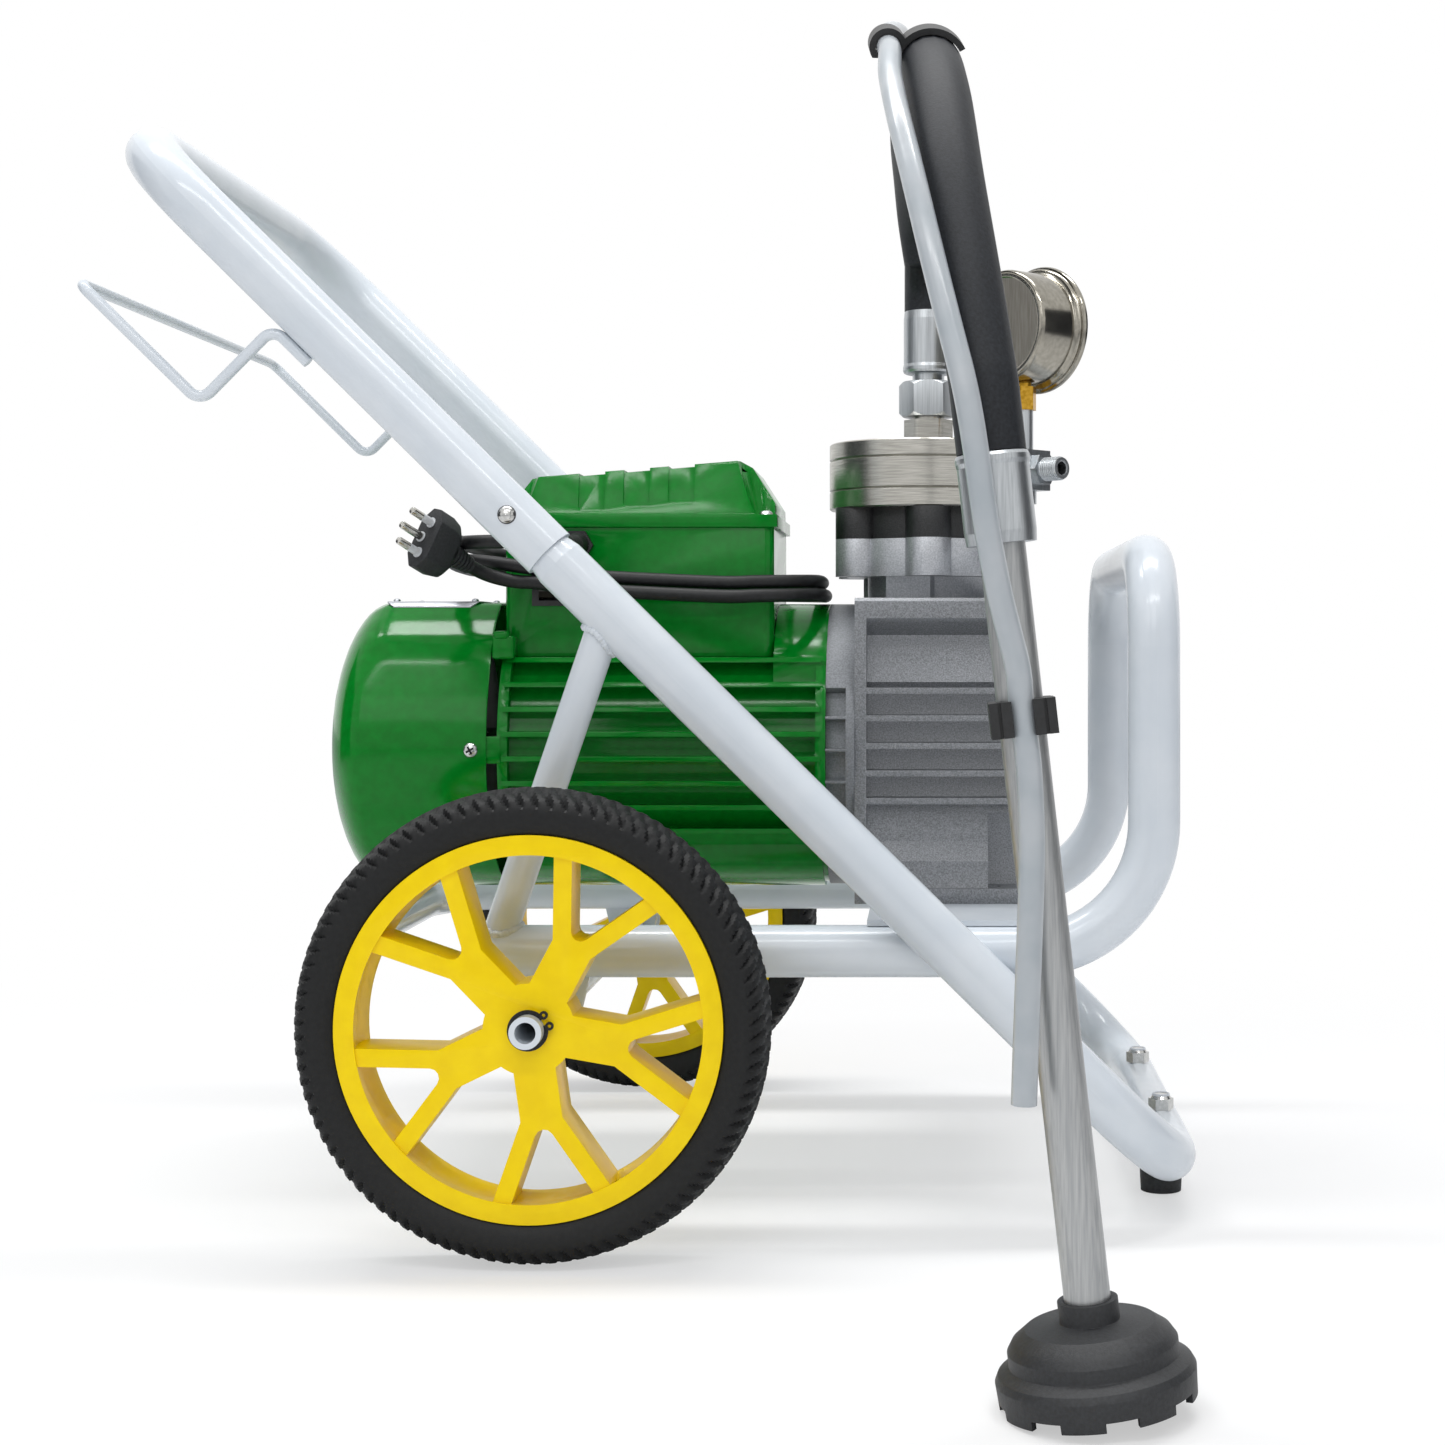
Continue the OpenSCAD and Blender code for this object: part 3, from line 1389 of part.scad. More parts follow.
module valve_block() {
    half = block_w / 2;
    color([0.7, 0.71, 0.72]) placed() {
        difference() {
            union() {
                at_manifold() {
                    translate([-half, -half + 1, valve_z - 12]) cube([block_w, block_w - 2, 24]);
                    along_x(-block_at + disc_r - 12, 0, valve_z) cylinder(h = block_at - disc_r, r = 5);
                    along_x(-block_at + disc_r + 0.5, 0, valve_z) hexagon(15, 7);
                    translate([0, 0, valve_z + 12]) cylinder(h = adapter_z - valve_z - 12, r = 6);
                    translate([0, 0, valve_z - 20]) cylinder(h = 8, r = 8);
                    along_x(half, 0, valve_z) hexagon(17, 6);
                    along_x(half + 6, 0, valve_z) cylinder(h = 13, r = 6.6);
                }
            }
            at_manifold() along_x(0, 0, valve_z) cylinder(h = 60, r = 4);
        }
    }
}

// hexagon adapter between the manifold's stem and the gauge
module gauge_adapter() {
    color([0.8, 0.62, 0.2]) placed() difference() {
        at_manifold() translate([0, 0, adapter_z]) {
            hexagon(14, 14);
            cylinder(h = gauge_z - gauge_d / 2 - adapter_z + 2, r = 5);
        }
        on_gauge() cylinder(h = gauge_depth, d = gauge_d + 2 * axle_fit);
    }
}

module return_valve() {
    color("silver") placed() translate([head_x, 0, valve_z]) rotate([0, 0, 90]) {
        along_x(disc_r - 12, 0, 0) cylinder(h = 13, r = 5);
        along_x(disc_r + 0.5, 0, 0) cylinder(h = 27, r = 10);
        translate([disc_r + 16, 0, 8]) cylinder(h = barb_z - valve_z - 8, r = 5);
    }
}

module prime_knob() {
    color([0.1, 0.1, 0.1]) placed() translate([head_x, 0, valve_z]) rotate([0, 0, 90])
        along_x(disc_r + 27.5 + gap, 0, 0) {
            cylinder(h = 16, r = 13);
            translate([-4, -19, 2]) cube([8, 38, 12]);
        }
}

module pressure_knob() {
    color([0.1, 0.1, 0.1]) placed() translate([head_x, 0, valve_z]) rotate([0, 0, regulator_turn])
        along_x(disc_r + gap, 0, 0) difference() {
            union() {
                cylinder(h = 6, r = 8);
                translate([0, 0, 6]) cylinder(h = 20, r1 = 15, r2 = 14);
            }
            for (i = [0:11]) rotate(30 * i) translate([16, 0, 8]) cylinder(h = 30, r = 2.4);
        }
}

module on_gauge() {
    at_manifold() translate([0, 0, gauge_z]) rotate([0, 0, gauge_turn - manifold_turn])
        rotate([90, 0, 90]) translate([0, 0, -gauge_back]) children();
}

module gauge_case() {
    r = gauge_d / 2;
    color("silver") placed() on_gauge() rotate_extrude() polygon([[0, 0], [r - 3, 0], [r - 0.8, 0.8],
        [r, 3], [r, gauge_depth - 7], [bezel_d / 2 - 1.5, gauge_depth - 6],
        [bezel_d / 2, gauge_depth - 4.5], [bezel_d / 2, gauge_depth - 1], [bezel_d / 2 - 1.5, gauge_depth],
        [r - 3, gauge_depth], [r - 3, gauge_depth - 8], [0, gauge_depth - 8]]);
}

module gauge_glass() {
    color([0.9, 0.95, 1, 0.3]) placed() on_gauge() translate([0, 0, gauge_depth - 3])
        cylinder(h = 2, r = gauge_d / 2 - 3);
}

module gauge_pointer() {
    color([0.05, 0.05, 0.05]) placed() on_gauge() translate([0, 0, gauge_depth - 7.5]) {
        cylinder(h = 2.5, r = 3.2);
        linear_extrude(0.8) rotate(135) polygon([[-1, -8], [1, -8], [0.5, 25], [-0.5, 25]]);
    }
}

frame_tube();
cradle_tube();
strut_tubes();
mount_plate();
handle();
hose_hook();
axle();
circlips();
near_rim();
near_tyre();
far_rim();
far_tyre();
near_snap_button();
far_snap_button();
rubber_feet();
foot_bolts();
motor_housing();
stator();
rotor();
drive_shaft();
bearings();
cooling_fan();
fan_cowl();
cover_screws();
control_box();
box_lid();
switch_bezel();
rocker_switch();
cable_gland();
cord_winding();
power_cord();
plug();
adapter_flange();
gear_housing();
plunger();
plunger_spring();
head_flange();
head_spacer();
diaphragm();
lower_disc();
middle_disc();
upper_disc();
head_bolts();
inlet_fitting();
swivel_nut();
hose_ferrules();
suction_hose();
suction_tube();
strainer();
return_hose();
tube_clip();
arch_clip();
valve_block();
gauge_adapter();
return_valve();
prime_knob();
pressure_knob();
gauge_case();
gauge_glass();
gauge_pointer();
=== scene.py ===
"""Airless paint sprayer on a wheeled tube cart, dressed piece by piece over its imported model."""
import bpy
import bmesh
import json
from math import cos, pi, radians, sin, sqrt
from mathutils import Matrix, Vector

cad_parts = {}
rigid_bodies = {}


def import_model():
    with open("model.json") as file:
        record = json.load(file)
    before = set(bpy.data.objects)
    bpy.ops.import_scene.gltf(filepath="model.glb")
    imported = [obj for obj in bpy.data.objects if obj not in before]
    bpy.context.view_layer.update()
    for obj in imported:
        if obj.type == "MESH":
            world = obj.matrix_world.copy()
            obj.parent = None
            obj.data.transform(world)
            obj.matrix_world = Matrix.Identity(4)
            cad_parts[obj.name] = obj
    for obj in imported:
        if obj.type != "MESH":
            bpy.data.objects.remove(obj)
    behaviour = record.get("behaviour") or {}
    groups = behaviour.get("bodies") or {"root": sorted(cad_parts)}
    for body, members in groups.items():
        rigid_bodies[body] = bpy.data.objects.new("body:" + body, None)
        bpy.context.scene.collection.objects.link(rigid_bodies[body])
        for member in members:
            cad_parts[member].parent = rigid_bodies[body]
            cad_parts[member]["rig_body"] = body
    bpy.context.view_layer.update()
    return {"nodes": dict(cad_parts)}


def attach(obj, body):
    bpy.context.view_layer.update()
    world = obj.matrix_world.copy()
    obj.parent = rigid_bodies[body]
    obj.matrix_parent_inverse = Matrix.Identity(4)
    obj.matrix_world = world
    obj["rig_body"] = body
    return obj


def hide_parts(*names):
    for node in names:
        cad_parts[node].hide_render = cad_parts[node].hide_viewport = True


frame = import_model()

# ------------------------------------------------------------------ studio
# A plain pale floor under a white room, with soft lamps overhead and a camera
# low in front of the suction tube, level with the motor.

frame_shift = (158.547, 121.5)


def at(x, y, z):
    """A point in the machine's own millimetres, x forwards and y to the far side, in the frame's metres."""
    return Vector(((x + frame_shift[0]) / 1000, (y + frame_shift[1]) / 1000, z / 1000))


def linear(code):
    """The linear colour of an sRGB hex code."""
    parts = [int(code[i:i + 2], 16) / 255 for i in (1, 3, 5)]
    return tuple(c / 12.92 if c <= 0.04045 else ((c + 0.055) / 1.055) ** 2.4 for c in parts) + (1.0,)


def add(tree, kind, inputs=None, **settings):
    """One node with its settings, its socket values and its links."""
    made = tree.nodes.new(kind)
    for key, value in settings.items():
        setattr(made, key, value)
    for key, value in (inputs or {}).items():
        if isinstance(value, bpy.types.NodeSocket):
            tree.links.new(value, made.inputs[key])
        else:
            made.inputs[key].default_value = value
    return made


def stand(name, data):
    """A new object in the scene for a mesh, a curve, a camera or a lamp."""
    made = bpy.data.objects.new(name, data)
    bpy.context.scene.collection.objects.link(made)
    return made


image_px = 1445
focal_px = 2250
eye = at(0, -1415, 327)
centre_px = (930, 640)
camera_data = bpy.data.cameras.new("Studio_Camera")
sensor_mm = 36
camera_data.sensor_width = sensor_mm
camera_data.lens = focal_px / image_px * sensor_mm
camera_data.clip_start, camera_data.clip_end = 0.05, 60
camera = stand("Studio_Camera", camera_data)
camera.location = eye
camera.rotation_euler = (pi / 2, 0, 0)
camera_data.shift_x = (image_px / 2 - centre_px[0]) / image_px
camera_data.shift_y = (centre_px[1] - image_px / 2) / image_px
bpy.context.scene.camera = camera

room = bpy.data.worlds.new("White_Room")
room.use_nodes = True
sky = room.node_tree
sky.nodes.clear()
rays = add(sky, "ShaderNodeLightPath")
seen = add(sky, "ShaderNodeMath", {0: rays.outputs["Is Camera Ray"], 1: rays.outputs["Is Glossy Ray"]},
           operation="ADD")
seen = add(sky, "ShaderNodeMath", {0: seen.outputs[0], 1: rays.outputs["Is Transmission Ray"]},
           operation="ADD", use_clamp=True)
soft = add(sky, "ShaderNodeBackground", {"Color": linear("#F4F6FA"), "Strength": 0.5})
white = add(sky, "ShaderNodeBackground", {"Color": (1, 1, 1, 1), "Strength": 1.0})
both = add(sky, "ShaderNodeMixShader", {0: seen.outputs[0], 1: soft.outputs[0], 2: white.outputs[0]})
add(sky, "ShaderNodeOutputWorld", {"Surface": both.outputs[0]})
bpy.context.scene.world = room
bpy.context.scene.view_settings.view_transform = "Standard"


def softbox(name, place, aim, width, height, watts):
    """A rectangular lamp that faces a point."""
    data = bpy.data.lights.new(name, "AREA")
    data.shape = "RECTANGLE"
    data.size, data.size_y = width, height
    data.energy = watts
    lamp = stand(name, data)
    lamp.location = place
    lamp.rotation_euler = (Vector(aim) - Vector(place)).to_track_quat("-Z", "Y").to_euler()


softbox("Overhead_Strip", (-0.2, 0.2, 2.7), (-0.2, 0.2, 0), 2.6, 0.34, 50)
softbox("High_Strip", (0.1, -1.5, 2.1), (0, 0, 0.3), 2.2, 0.12, 15)
softbox("Front_Lamp", (-0.4, -2.4, 1.7), (0, 0, 0.3), 2.2, 1.0, 9)

floor_mesh = bpy.data.meshes.new("Studio_Floor")
floor_reach, floor_level = 12, -0.0005
corners = ((-1, -1), (1, -1), (1, 1), (-1, 1))
floor_mesh.from_pydata([(x * floor_reach, y * floor_reach, floor_level) for x, y in corners], [],
                       [(0, 1, 2, 3)])
studio_floor = stand("Studio_Floor", floor_mesh)
painted_floor = bpy.data.materials.new("Pale_Painted_Floor")
painted_floor.use_nodes = True
tree = painted_floor.node_tree
tree.nodes.clear()
rays = add(tree, "ShaderNodeLightPath")
where = add(tree, "ShaderNodeTexCoord")
away = add(tree, "ShaderNodeVectorMath", {0: where.outputs["Object"]}, operation="LENGTH")
fade_from, fade_to = 0.35, 1.1
fade = add(tree, "ShaderNodeMapRange", {0: away.outputs["Value"], 1: fade_from, 2: fade_to, 3: 0.5, 4: 1.0},
           interpolation_type="SMOOTHSTEP")
fade = add(tree, "ShaderNodeMath", {0: fade.outputs[0], 1: rays.outputs["Is Camera Ray"]},
           operation="MULTIPLY")
matt = add(tree, "ShaderNodeBsdfDiffuse", {"Color": linear("#F3F3F3")})
glow = add(tree, "ShaderNodeEmission", {"Color": (1, 1, 1, 1), "Strength": 1.0})
both = add(tree, "ShaderNodeMixShader", {0: fade.outputs[0], 1: matt.outputs[0], 2: glow.outputs[0]})
add(tree, "ShaderNodeOutputMaterial", {"Surface": both.outputs[0]})
floor_mesh.materials.append(painted_floor)

grey_felt = bpy.data.materials.new("Grey_Felt")
grey_felt.use_nodes = True
grey_felt.node_tree.nodes.clear()
felt = add(grey_felt.node_tree, "ShaderNodeBsdfDiffuse", {"Color": linear("#3C3E42")})
add(grey_felt.node_tree, "ShaderNodeOutputMaterial", {"Surface": felt.outputs[0]})
# Upright felt cards to the left and right, seen in the reflections only.
card_near, card_far, card_high = -0.8, 1.4, 1.7
for name, x in (("Left_Felt_Card", -2.6), ("Right_Felt_Card", 2.6)):
    card_mesh = bpy.data.meshes.new(name)
    card_mesh.from_pydata([(x, card_near, 0), (x, card_far, 0), (x, card_far, card_high),
                           (x, card_near, card_high)], [], [(0, 1, 2, 3)])
    card_mesh.materials.append(grey_felt)
    dark_card = stand(name, card_mesh)
    dark_card.visible_camera = False
    dark_card.visible_diffuse = False
    dark_card.visible_shadow = False

# ------------------------------------------------------------------ suction hose
# Wire-wound rubber hose, 30 mm outside, pressed into steel ferrules at both ends.
# It stands up from the pump in a stiff arch and comes down to the suction tube.


def finish(name, colour, roughness, metallic=0.0, **sockets):
    """A new material with its base shader, and the shader's node to add its texture to."""
    made = bpy.data.materials.new(name)
    made.use_nodes = True
    made.node_tree.nodes.clear()
    values = {"Base Color": linear(colour), "Roughness": roughness, "Metallic": metallic}
    values.update({key.replace("_", " "): value for key, value in sockets.items()})
    shader = add(made.node_tree, "ShaderNodeBsdfPrincipled", values)
    add(made.node_tree, "ShaderNodeOutputMaterial", {"Surface": shader.outputs[0]})
    return made, shader


def grain(tree, size, detail, stretch):
    """Noise with grains of a real size in metres; stretch is the grain's length on each axis."""
    where = add(tree, "ShaderNodeTexCoord")
    fit = add(tree, "ShaderNodeMapping",
              {"Vector": where.outputs["Object"], "Scale": tuple(1 / s for s in stretch)})
    return add(tree, "ShaderNodeTexNoise", {"Vector": fit.outputs[0], "Scale": 1 / size, "Detail": detail})


def mottle(made, shader, low, high, size, detail=3.0, contrast=(0.35, 0.65), stretch=(1, 1, 1)):
    """Two colours mixed by a grain of a real size."""
    tree = made.node_tree
    noise = grain(tree, size, detail, stretch)
    spread = add(tree, "ShaderNodeMapRange", {0: noise.outputs[0], 1: contrast[0], 2: contrast[1]})
    tint = add(tree, "ShaderNodeMix", {0: spread.outputs[0], 6: linear(low), 7: linear(high)},
               data_type="RGBA")
    tree.links.new(tint.outputs[2], shader.inputs["Base Color"])


def relief(made, shader, size, depth, detail=2.0, strength=0.5, stretch=(1, 1, 1)):
    """A bump of a real grain size and depth, in metres."""
    tree = made.node_tree
    noise = grain(tree, size, detail, stretch)
    bump = add(tree, "ShaderNodeBump", {"Height": noise.outputs[0], "Distance": depth, "Strength": strength})
    tree.links.new(bump.outputs[0], shader.inputs["Normal"])


def smooth(points, steps):
    """More points on a curve that passes through every given one."""
    made = []
    for i in range(len(points) - 1):
        a, b = points[max(i - 1, 0)], points[i]
        c, d = points[i + 1], points[min(i + 2, len(points) - 1)]
        for s in range(steps):
            t = s / steps
            made.append(0.5 * (2 * b + (c - a) * t + (2 * a - 5 * b + 4 * c - d) * t * t
                               + (3 * b - a - 3 * c + d) * t ** 3))
    return made + [points[-1]]


def hose(name, points, radius, material):
    """A round hose as one open curve."""
    curve = bpy.data.curves.new(name, "CURVE")
    curve.dimensions = "3D"
    line = curve.splines.new("POLY")
    line.points.add(len(points) - 1)
    for spot, point in zip(line.points, points):
        spot.co = (*point, 1)
    line.use_smooth = True
    curve.bevel_depth = radius
    curve.bevel_resolution = 7
    curve.use_fill_caps = True
    curve.materials.append(material)
    return stand(name, curve)


suction_radius = 0.015
lean, strainer_radius = radians(6.46), 43
pipe_foot = Vector((71.6, -460, strainer_radius * sin(lean)))


def on_pipe(x, y, z):
    """A point in the leaning suction tube's own millimetres, in machine millimetres."""
    return pipe_foot + Vector((x * cos(lean) - z * sin(lean), y, x * sin(lean) + z * cos(lean)))


ferrule_top, pipe_top, end_run = 533, 404.3, 30
arch = [(-5, -14, 588), (-7, -52, 606), (-8, -110, 615), (-7, -180, 619), (-5, -250, 619), (-3, -305, 611),
        (0, -350, 599), (4, -388, 574), (9, -424, 530), (16, -447, 482)]
suction_route = [Vector((-1, 0, ferrule_top + end_run))] + [Vector(p) for p in arch]
suction_route.append(on_pipe(0, 0, pipe_top + end_run))
suction_line = [at(-1, 0, ferrule_top)] + [at(*p) for p in smooth(suction_route, 8)]
suction_line.append(at(*on_pipe(0, 0, pipe_top)))
# Matt rubber with the faint mottling and fine grain of its cloth wrapping.
hose_rubber, shader = finish("Wrapped_Hose_Rubber", "#1B1E22", 0.55, Specular_IOR_Level=0.3)
mottle(hose_rubber, shader, "#14161A", "#23262B", 0.0016, detail=5, contrast=(0.3, 0.7))
relief(hose_rubber, shader, 0.0009, 0.0002, detail=4, strength=0.45)
suction = hose("Suction_Hose", suction_line, suction_radius, hose_rubber)
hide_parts("suction_hose")
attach(suction, "cart")

# ------------------------------------------------------------------ return hose
# Milky plastic tube, 11 mm outside, from the prime valve over the arch and down
# through the spring clip on the suction tube, with its end left open.

arch_at = Vector(arch[6])
arch_out = (Vector(arch[7]) - Vector(arch[5])).normalized()
arch_side = Vector((0, 0, 1)).cross(arch_out).normalized()
arch_up = arch_out.cross(arch_side)
clip_aside, clip_up = 20.5, 9
arch_return = arch_at - arch_side * clip_aside + arch_up * clip_up
return_radius = 0.0055
return_off, tube_clip_at = 17.5, 284
return_route = [Vector(p) for p in [(-1, 78, 447), (-1, 78, 470), (-1, 80, 520), (-2, 78, 570), (-5, 60, 607),
                                    (-8, 25, 627), (-10, -20, 635), (-11, -90, 640), (-12, -160, 643),
                                    (-14, -225, 641), (-16, -262, 637), (-19, -300, 628)]]
return_route += [arch_return + arch_out * along for along in (-20, 0, 20)]
return_route += [Vector(p) for p in [(-18, -394, 583), (-14, -419, 559), (-10, -435, 540), (-6, -449, 521),
                                     (-1, -461, 498), (4, -470, 476), (9, -477, 455), (14, -483, 434),
                                     (18, -485, 412), (23, -484, 377), (29, -480.5, 346)]]
return_route += [on_pipe(0, -return_off, tube_clip_at + z) for z in (30, 15, 0, -15)]
return_route += [Vector(p) for p in [(42.5, -478, 245), (42, -480, 222), (41, -481, 194), (40, -481, 165),
                                     (39, -481, 134)]]
return_line = [at(*p) for p in smooth(return_route, 6)]
# Cloudy polyethylene lets light in a few millimetres and has a soft, uneven gloss.
milky_tube, shader = finish("Milky_Polyethylene_Tube", "#ADB3B8", 0.28, Subsurface_Weight=0.25,
                            Subsurface_Radius=(0.004, 0.004, 0.004), Coat_Weight=0.25, Coat_Roughness=0.15)
mottle(milky_tube, shader, "#A7AEB3", "#B3B8BC", 0.02, detail=2)
relief(milky_tube, shader, 0.012, 0.0006, detail=1, strength=0.25)
return_tube = hose("Return_Hose", return_line, return_radius, milky_tube)
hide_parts("return_hose")
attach(return_tube, "cart")

# ------------------------------------------------------------------ power cord and plug
# Black rubber cord, 8.2 mm thick, out of the gland, twice round the control box
# and back to a moulded plug with three round pins, the outer two in pale sleeves.

box_back, box_len, box_w = -256.0, 162.0, 124.0
wind_x = box_back + box_len / 2 - 4
wind_half = (box_len / 2 + 30, box_w / 2 + 14)
wind_low, wind_pitch, wind_start = 369, 8.3, 252
cord_radius = 0.0041


def root(v):
    """The square root with its sign kept, which makes a circle's turn a rounded square."""
    return (1 if v > 0 else -1) * sqrt(abs(v))


def wound(turned):
    """A point of the winding, turned degrees after its start, in machine millimetres."""
    angle = radians(wind_start - turned)
    if turned < 72:
        slack = 0.23
    elif turned < 342:
        slack = 0.23 * (342 - turned) / 270
    elif turned < 432:
        slack = 0.45 * (turned - 342) / 90
    elif turned < 702:
        slack = 0.45 * (702 - turned) / 270
    else:
        slack = 0
    wide = 5 * min(1, max(0, (turned - 345) / 60))
    x = wind_x + (wind_half[0] + wide * 0.4) * root(cos(angle))
    rise = 23 * (1 - slack) * min(1, max(0, (-150 - x) / 140)) ** 1.8
    y = (wind_half[1] + wide) * root(sin(angle))
    return Vector((x, y, wind_low + rise - wind_pitch * turned / 360))


plug_face = Vector((-290.5, -122, 386))
plug_out = Vector((-0.49, -0.78, 0.386)).normalized()
plug_row = plug_out.cross(Vector((0.355, 0.225, 0.907))).cross(plug_out).normalized()
plug_side = plug_out.cross(plug_row)
gland = Vector((-212, -73, 384))
lead_out = [gland, gland + Vector((0, -6, 0))]
loop_x, loop_y, loop_radius = -245, -79, 33
for k in range(1, 8):
    angle = radians(-22.5 * k)
    lead_out.append(Vector((loop_x + loop_radius * cos(angle), loop_y + loop_radius * sin(angle), 384)))
lead_out.append(Vector((-280, -76, 384)))
winding = [wound(15 * i) + Vector((0, 0, max(0, 2 - 0.7 * (i - 3)))) for i in range(3, 48)]
neck_end, neck_way = plug_face - plug_out * 40, plug_out * -1
bend_at, bend_end = neck_end + neck_way * 24, Vector((-233, -77.6, 361))
lead_in = [neck_end * (1 - s) ** 2 + bend_at * (2 * s * (1 - s)) + bend_end * s ** 2
           for s in (1, 0.8, 0.6, 0.4, 0.2, 0)]
cord_line = [at(*p) for p in smooth(lead_out + winding + lead_in, 5)]
# Matt black rubber sheath with a faint grain from the extruder.
cord_rubber, shader = finish("Cord_Rubber", "#101112", 0.5, Specular_IOR_Level=0.35)
mottle(cord_rubber, shader, "#0D0E0F", "#17181A", 0.003, detail=4)
relief(cord_rubber, shader, 0.0008, 0.00012, strength=0.4)
cord = hose("Power_Cord", cord_line, cord_radius, cord_rubber)
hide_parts("power_cord", "cord_winding")
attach(cord, "cart")


def mesh_piece(name, form, *materials, smooth_angle=35):
    """An object from a bmesh, its edges kept crisp above the angle."""
    data = bpy.data.meshes.new(name)
    form.to_mesh(data)
    form.free()
    for material in materials:
        data.materials.append(material)
    for face in data.polygons:
        face.use_smooth = True
    data.set_sharp_from_angle(angle=radians(smooth_angle))
    return stand(name, data)


def spoke(across, other, k, sides):
    """The direction of one of the evenly spaced spokes round an axis."""
    return across * cos(2 * pi * k / sides) + other * sin(2 * pi * k / sides)


def bridge(form, rings, material=0):
    """Joins closed rings of points, one to the next, with four-sided faces."""
    for low, high in zip(rings, rings[1:]):
        count = len(low)
        for k in range(count):
            face = form.faces.new((low[k], low[(k + 1) % count], high[(k + 1) % count], high[k]))
            face.material_index = material


def turned(form, profile, place, axis, across, material=0, sides=48, closed=False):
    """Adds a turned shape: a profile of radius and height pairs in millimetres along an axis."""
    axis, across = Vector(axis).normalized(), Vector(across).normalized()
    other = axis.cross(across)
    rings = []
    for r, h in profile:
        centre = place + axis * h
        rings.append([form.verts.new(at(*(centre + spoke(across, other, k, sides) * r)))
                      for k in range(sides)])
    bridge(form, rings, material)
    if closed:
        form.faces.new(list(reversed(rings[0]))).material_index = material
        form.faces.new(rings[-1]).material_index = material


def walk(line, far):
    """The point and the direction at a distance along a line of points."""
    for a, b in zip(line, line[1:]):
        step = (b - a).length
        if far <= step:
            return a + (b - a) * (far / step), (b - a).normalized()
        far -= step
    return line[-1], (line[-1] - line[-2]).normalized()


def sleeve(form, line, profile, sides=32):
    """Adds a turned shape bent along a line: pairs of radius and distance along it, in millimetres."""
    rings = []
    for r, far in profile:
        centre, way = walk(line, far)
        across = way.cross(Vector((0, 0, 1))).normalized()
        other = way.cross(across)
        rings.append([form.verts.new(at(*(centre + spoke(across, other, k, sides) * r)))
                      for k in range(sides)])
    bridge(form, rings)


# Tapered ribbed boot that holds the cord where it leaves the gland.
boot_form = bmesh.new()
boot = [(4.1, 0), (5.6, 0), (5.7, 1.5)]
for i in range(7):
    wide, slim, along = 5.6 - 0.13 * i, 4.9 - 0.1 * i, 3.2 * i
    boot += [(wide, 2.4 + along), (wide, 3.9 + along), (slim, 4.2 + along), (slim, 5.3 + along)]
boot += [(4.6, 25.2), (4.45, 26), (4.1, 26)]
sleeve(boot_form, smooth(lead_out, 6), boot)
bmesh.ops.recalc_face_normals(boot_form, faces=boot_form.faces)
strain_relief = mesh_piece("Cord_Strain_Relief", boot_form, cord_rubber)
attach(strain_relief, "cart")

plug_form = bmesh.new()
outline = [(18.5, -3), (18.5, 3), (11, 8.5), (-11, 8.5), (-18.5, 3), (-18.5, -3), (-11, -8.5), (11, -8.5)]
levels = []
for back, scale in ((0, 1.0), (-12, 1.0), (-19, 0.9), (-22, 0.72)):
    middle = plug_face + plug_out * back
    levels.append([plug_form.verts.new(at(*(middle + plug_row * (u * scale) + plug_side * (v * scale))))
                   for u, v in outline])
bridge(plug_form, levels)
plug_form.faces.new(levels[0])
plug_form.faces.new(list(reversed(levels[-1])))
bmesh.ops.recalc_face_normals(plug_form, faces=plug_form.faces)
bmesh.ops.bevel(plug_form, geom=[e for e in plug_form.edges if e.calc_face_angle(0) > 0.3], offset=0.0009,
                segments=2, affect="EDGES", profile=0.6)
relief_neck = [(7.4, -21)]
for i in range(6):
    wide, slim, back = 7.0 - 0.35 * i, 5.6 - 0.25 * i, 3 * i
    relief_neck += [(wide, -22 - back), (wide, -23.6 - back), (slim, -24 - back), (slim, -24.8 - back)]
relief_neck.append((4.2, -40))
turned(plug_form, relief_neck, plug_face, plug_out, plug_row)
pin_apart = 9.5
for u, v, sleeve_end in ((-pin_apart, 0, 8.5), (0, 3, 0.6), (pin_apart, 0, 8.5)):
    pin_foot = plug_face + plug_row * u + plug_side * v
    turned(plug_form, [(3.2, -0.5), (3.2, 0.3), (2.36, 0.3), (2.36, sleeve_end)], pin_foot, plug_out,
           plug_row, 1, 24)
    turned(plug_form, [(2.3, 0), (2.3, 15.6), (1.9, 16.6), (0.9, 17)], pin_foot, plug_out,
           plug_row, 2, 24, True)
pin_sleeve, shader = finish("Pale_Sleeve_Plastic", "#C9CCCE", 0.4)
mottle(pin_sleeve, shader, "#BFC2C5", "#D2D4D6", 0.004)
pin_metal, shader = finish("Nickel_Plated_Pins", "#C4C2BC", 0.22, 1.0)
relief(pin_metal, shader, 0.0006, 0.00005, strength=0.3)
plug_rubber, shader = finish("Moulded_Plug_Rubber", "#1D1F21", 0.62)
mottle(plug_rubber, shader, "#191A1C", "#26282B", 0.0012, detail=5)
relief(plug_rubber, shader, 0.0006, 0.00015, detail=3, strength=0.5)
plug = mesh_piece("Plug", plug_form, plug_rubber, pin_sleeve, pin_metal)
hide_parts("plug")
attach(plug, "cart")

# ------------------------------------------------------------------ cart frame and handle
# Bent steel tube, MIG welded and sprayed with glossy white powder coat, which
# leaves a faint orange peel and softened weld beads at every joint.

# Smooth glossy coat whose orange peel breaks up the edges of reflections.
powder_coat, shader = finish("White_Powder_Coat", "#D2D9DF", 0.2, Specular_IOR_Level=0.5)
mottle(powder_coat, shader, "#CFD6DD", "#D5DBE1", 0.03, detail=3)
relief(powder_coat, shader, 0.005, 0.00005, detail=1, strength=0.22)


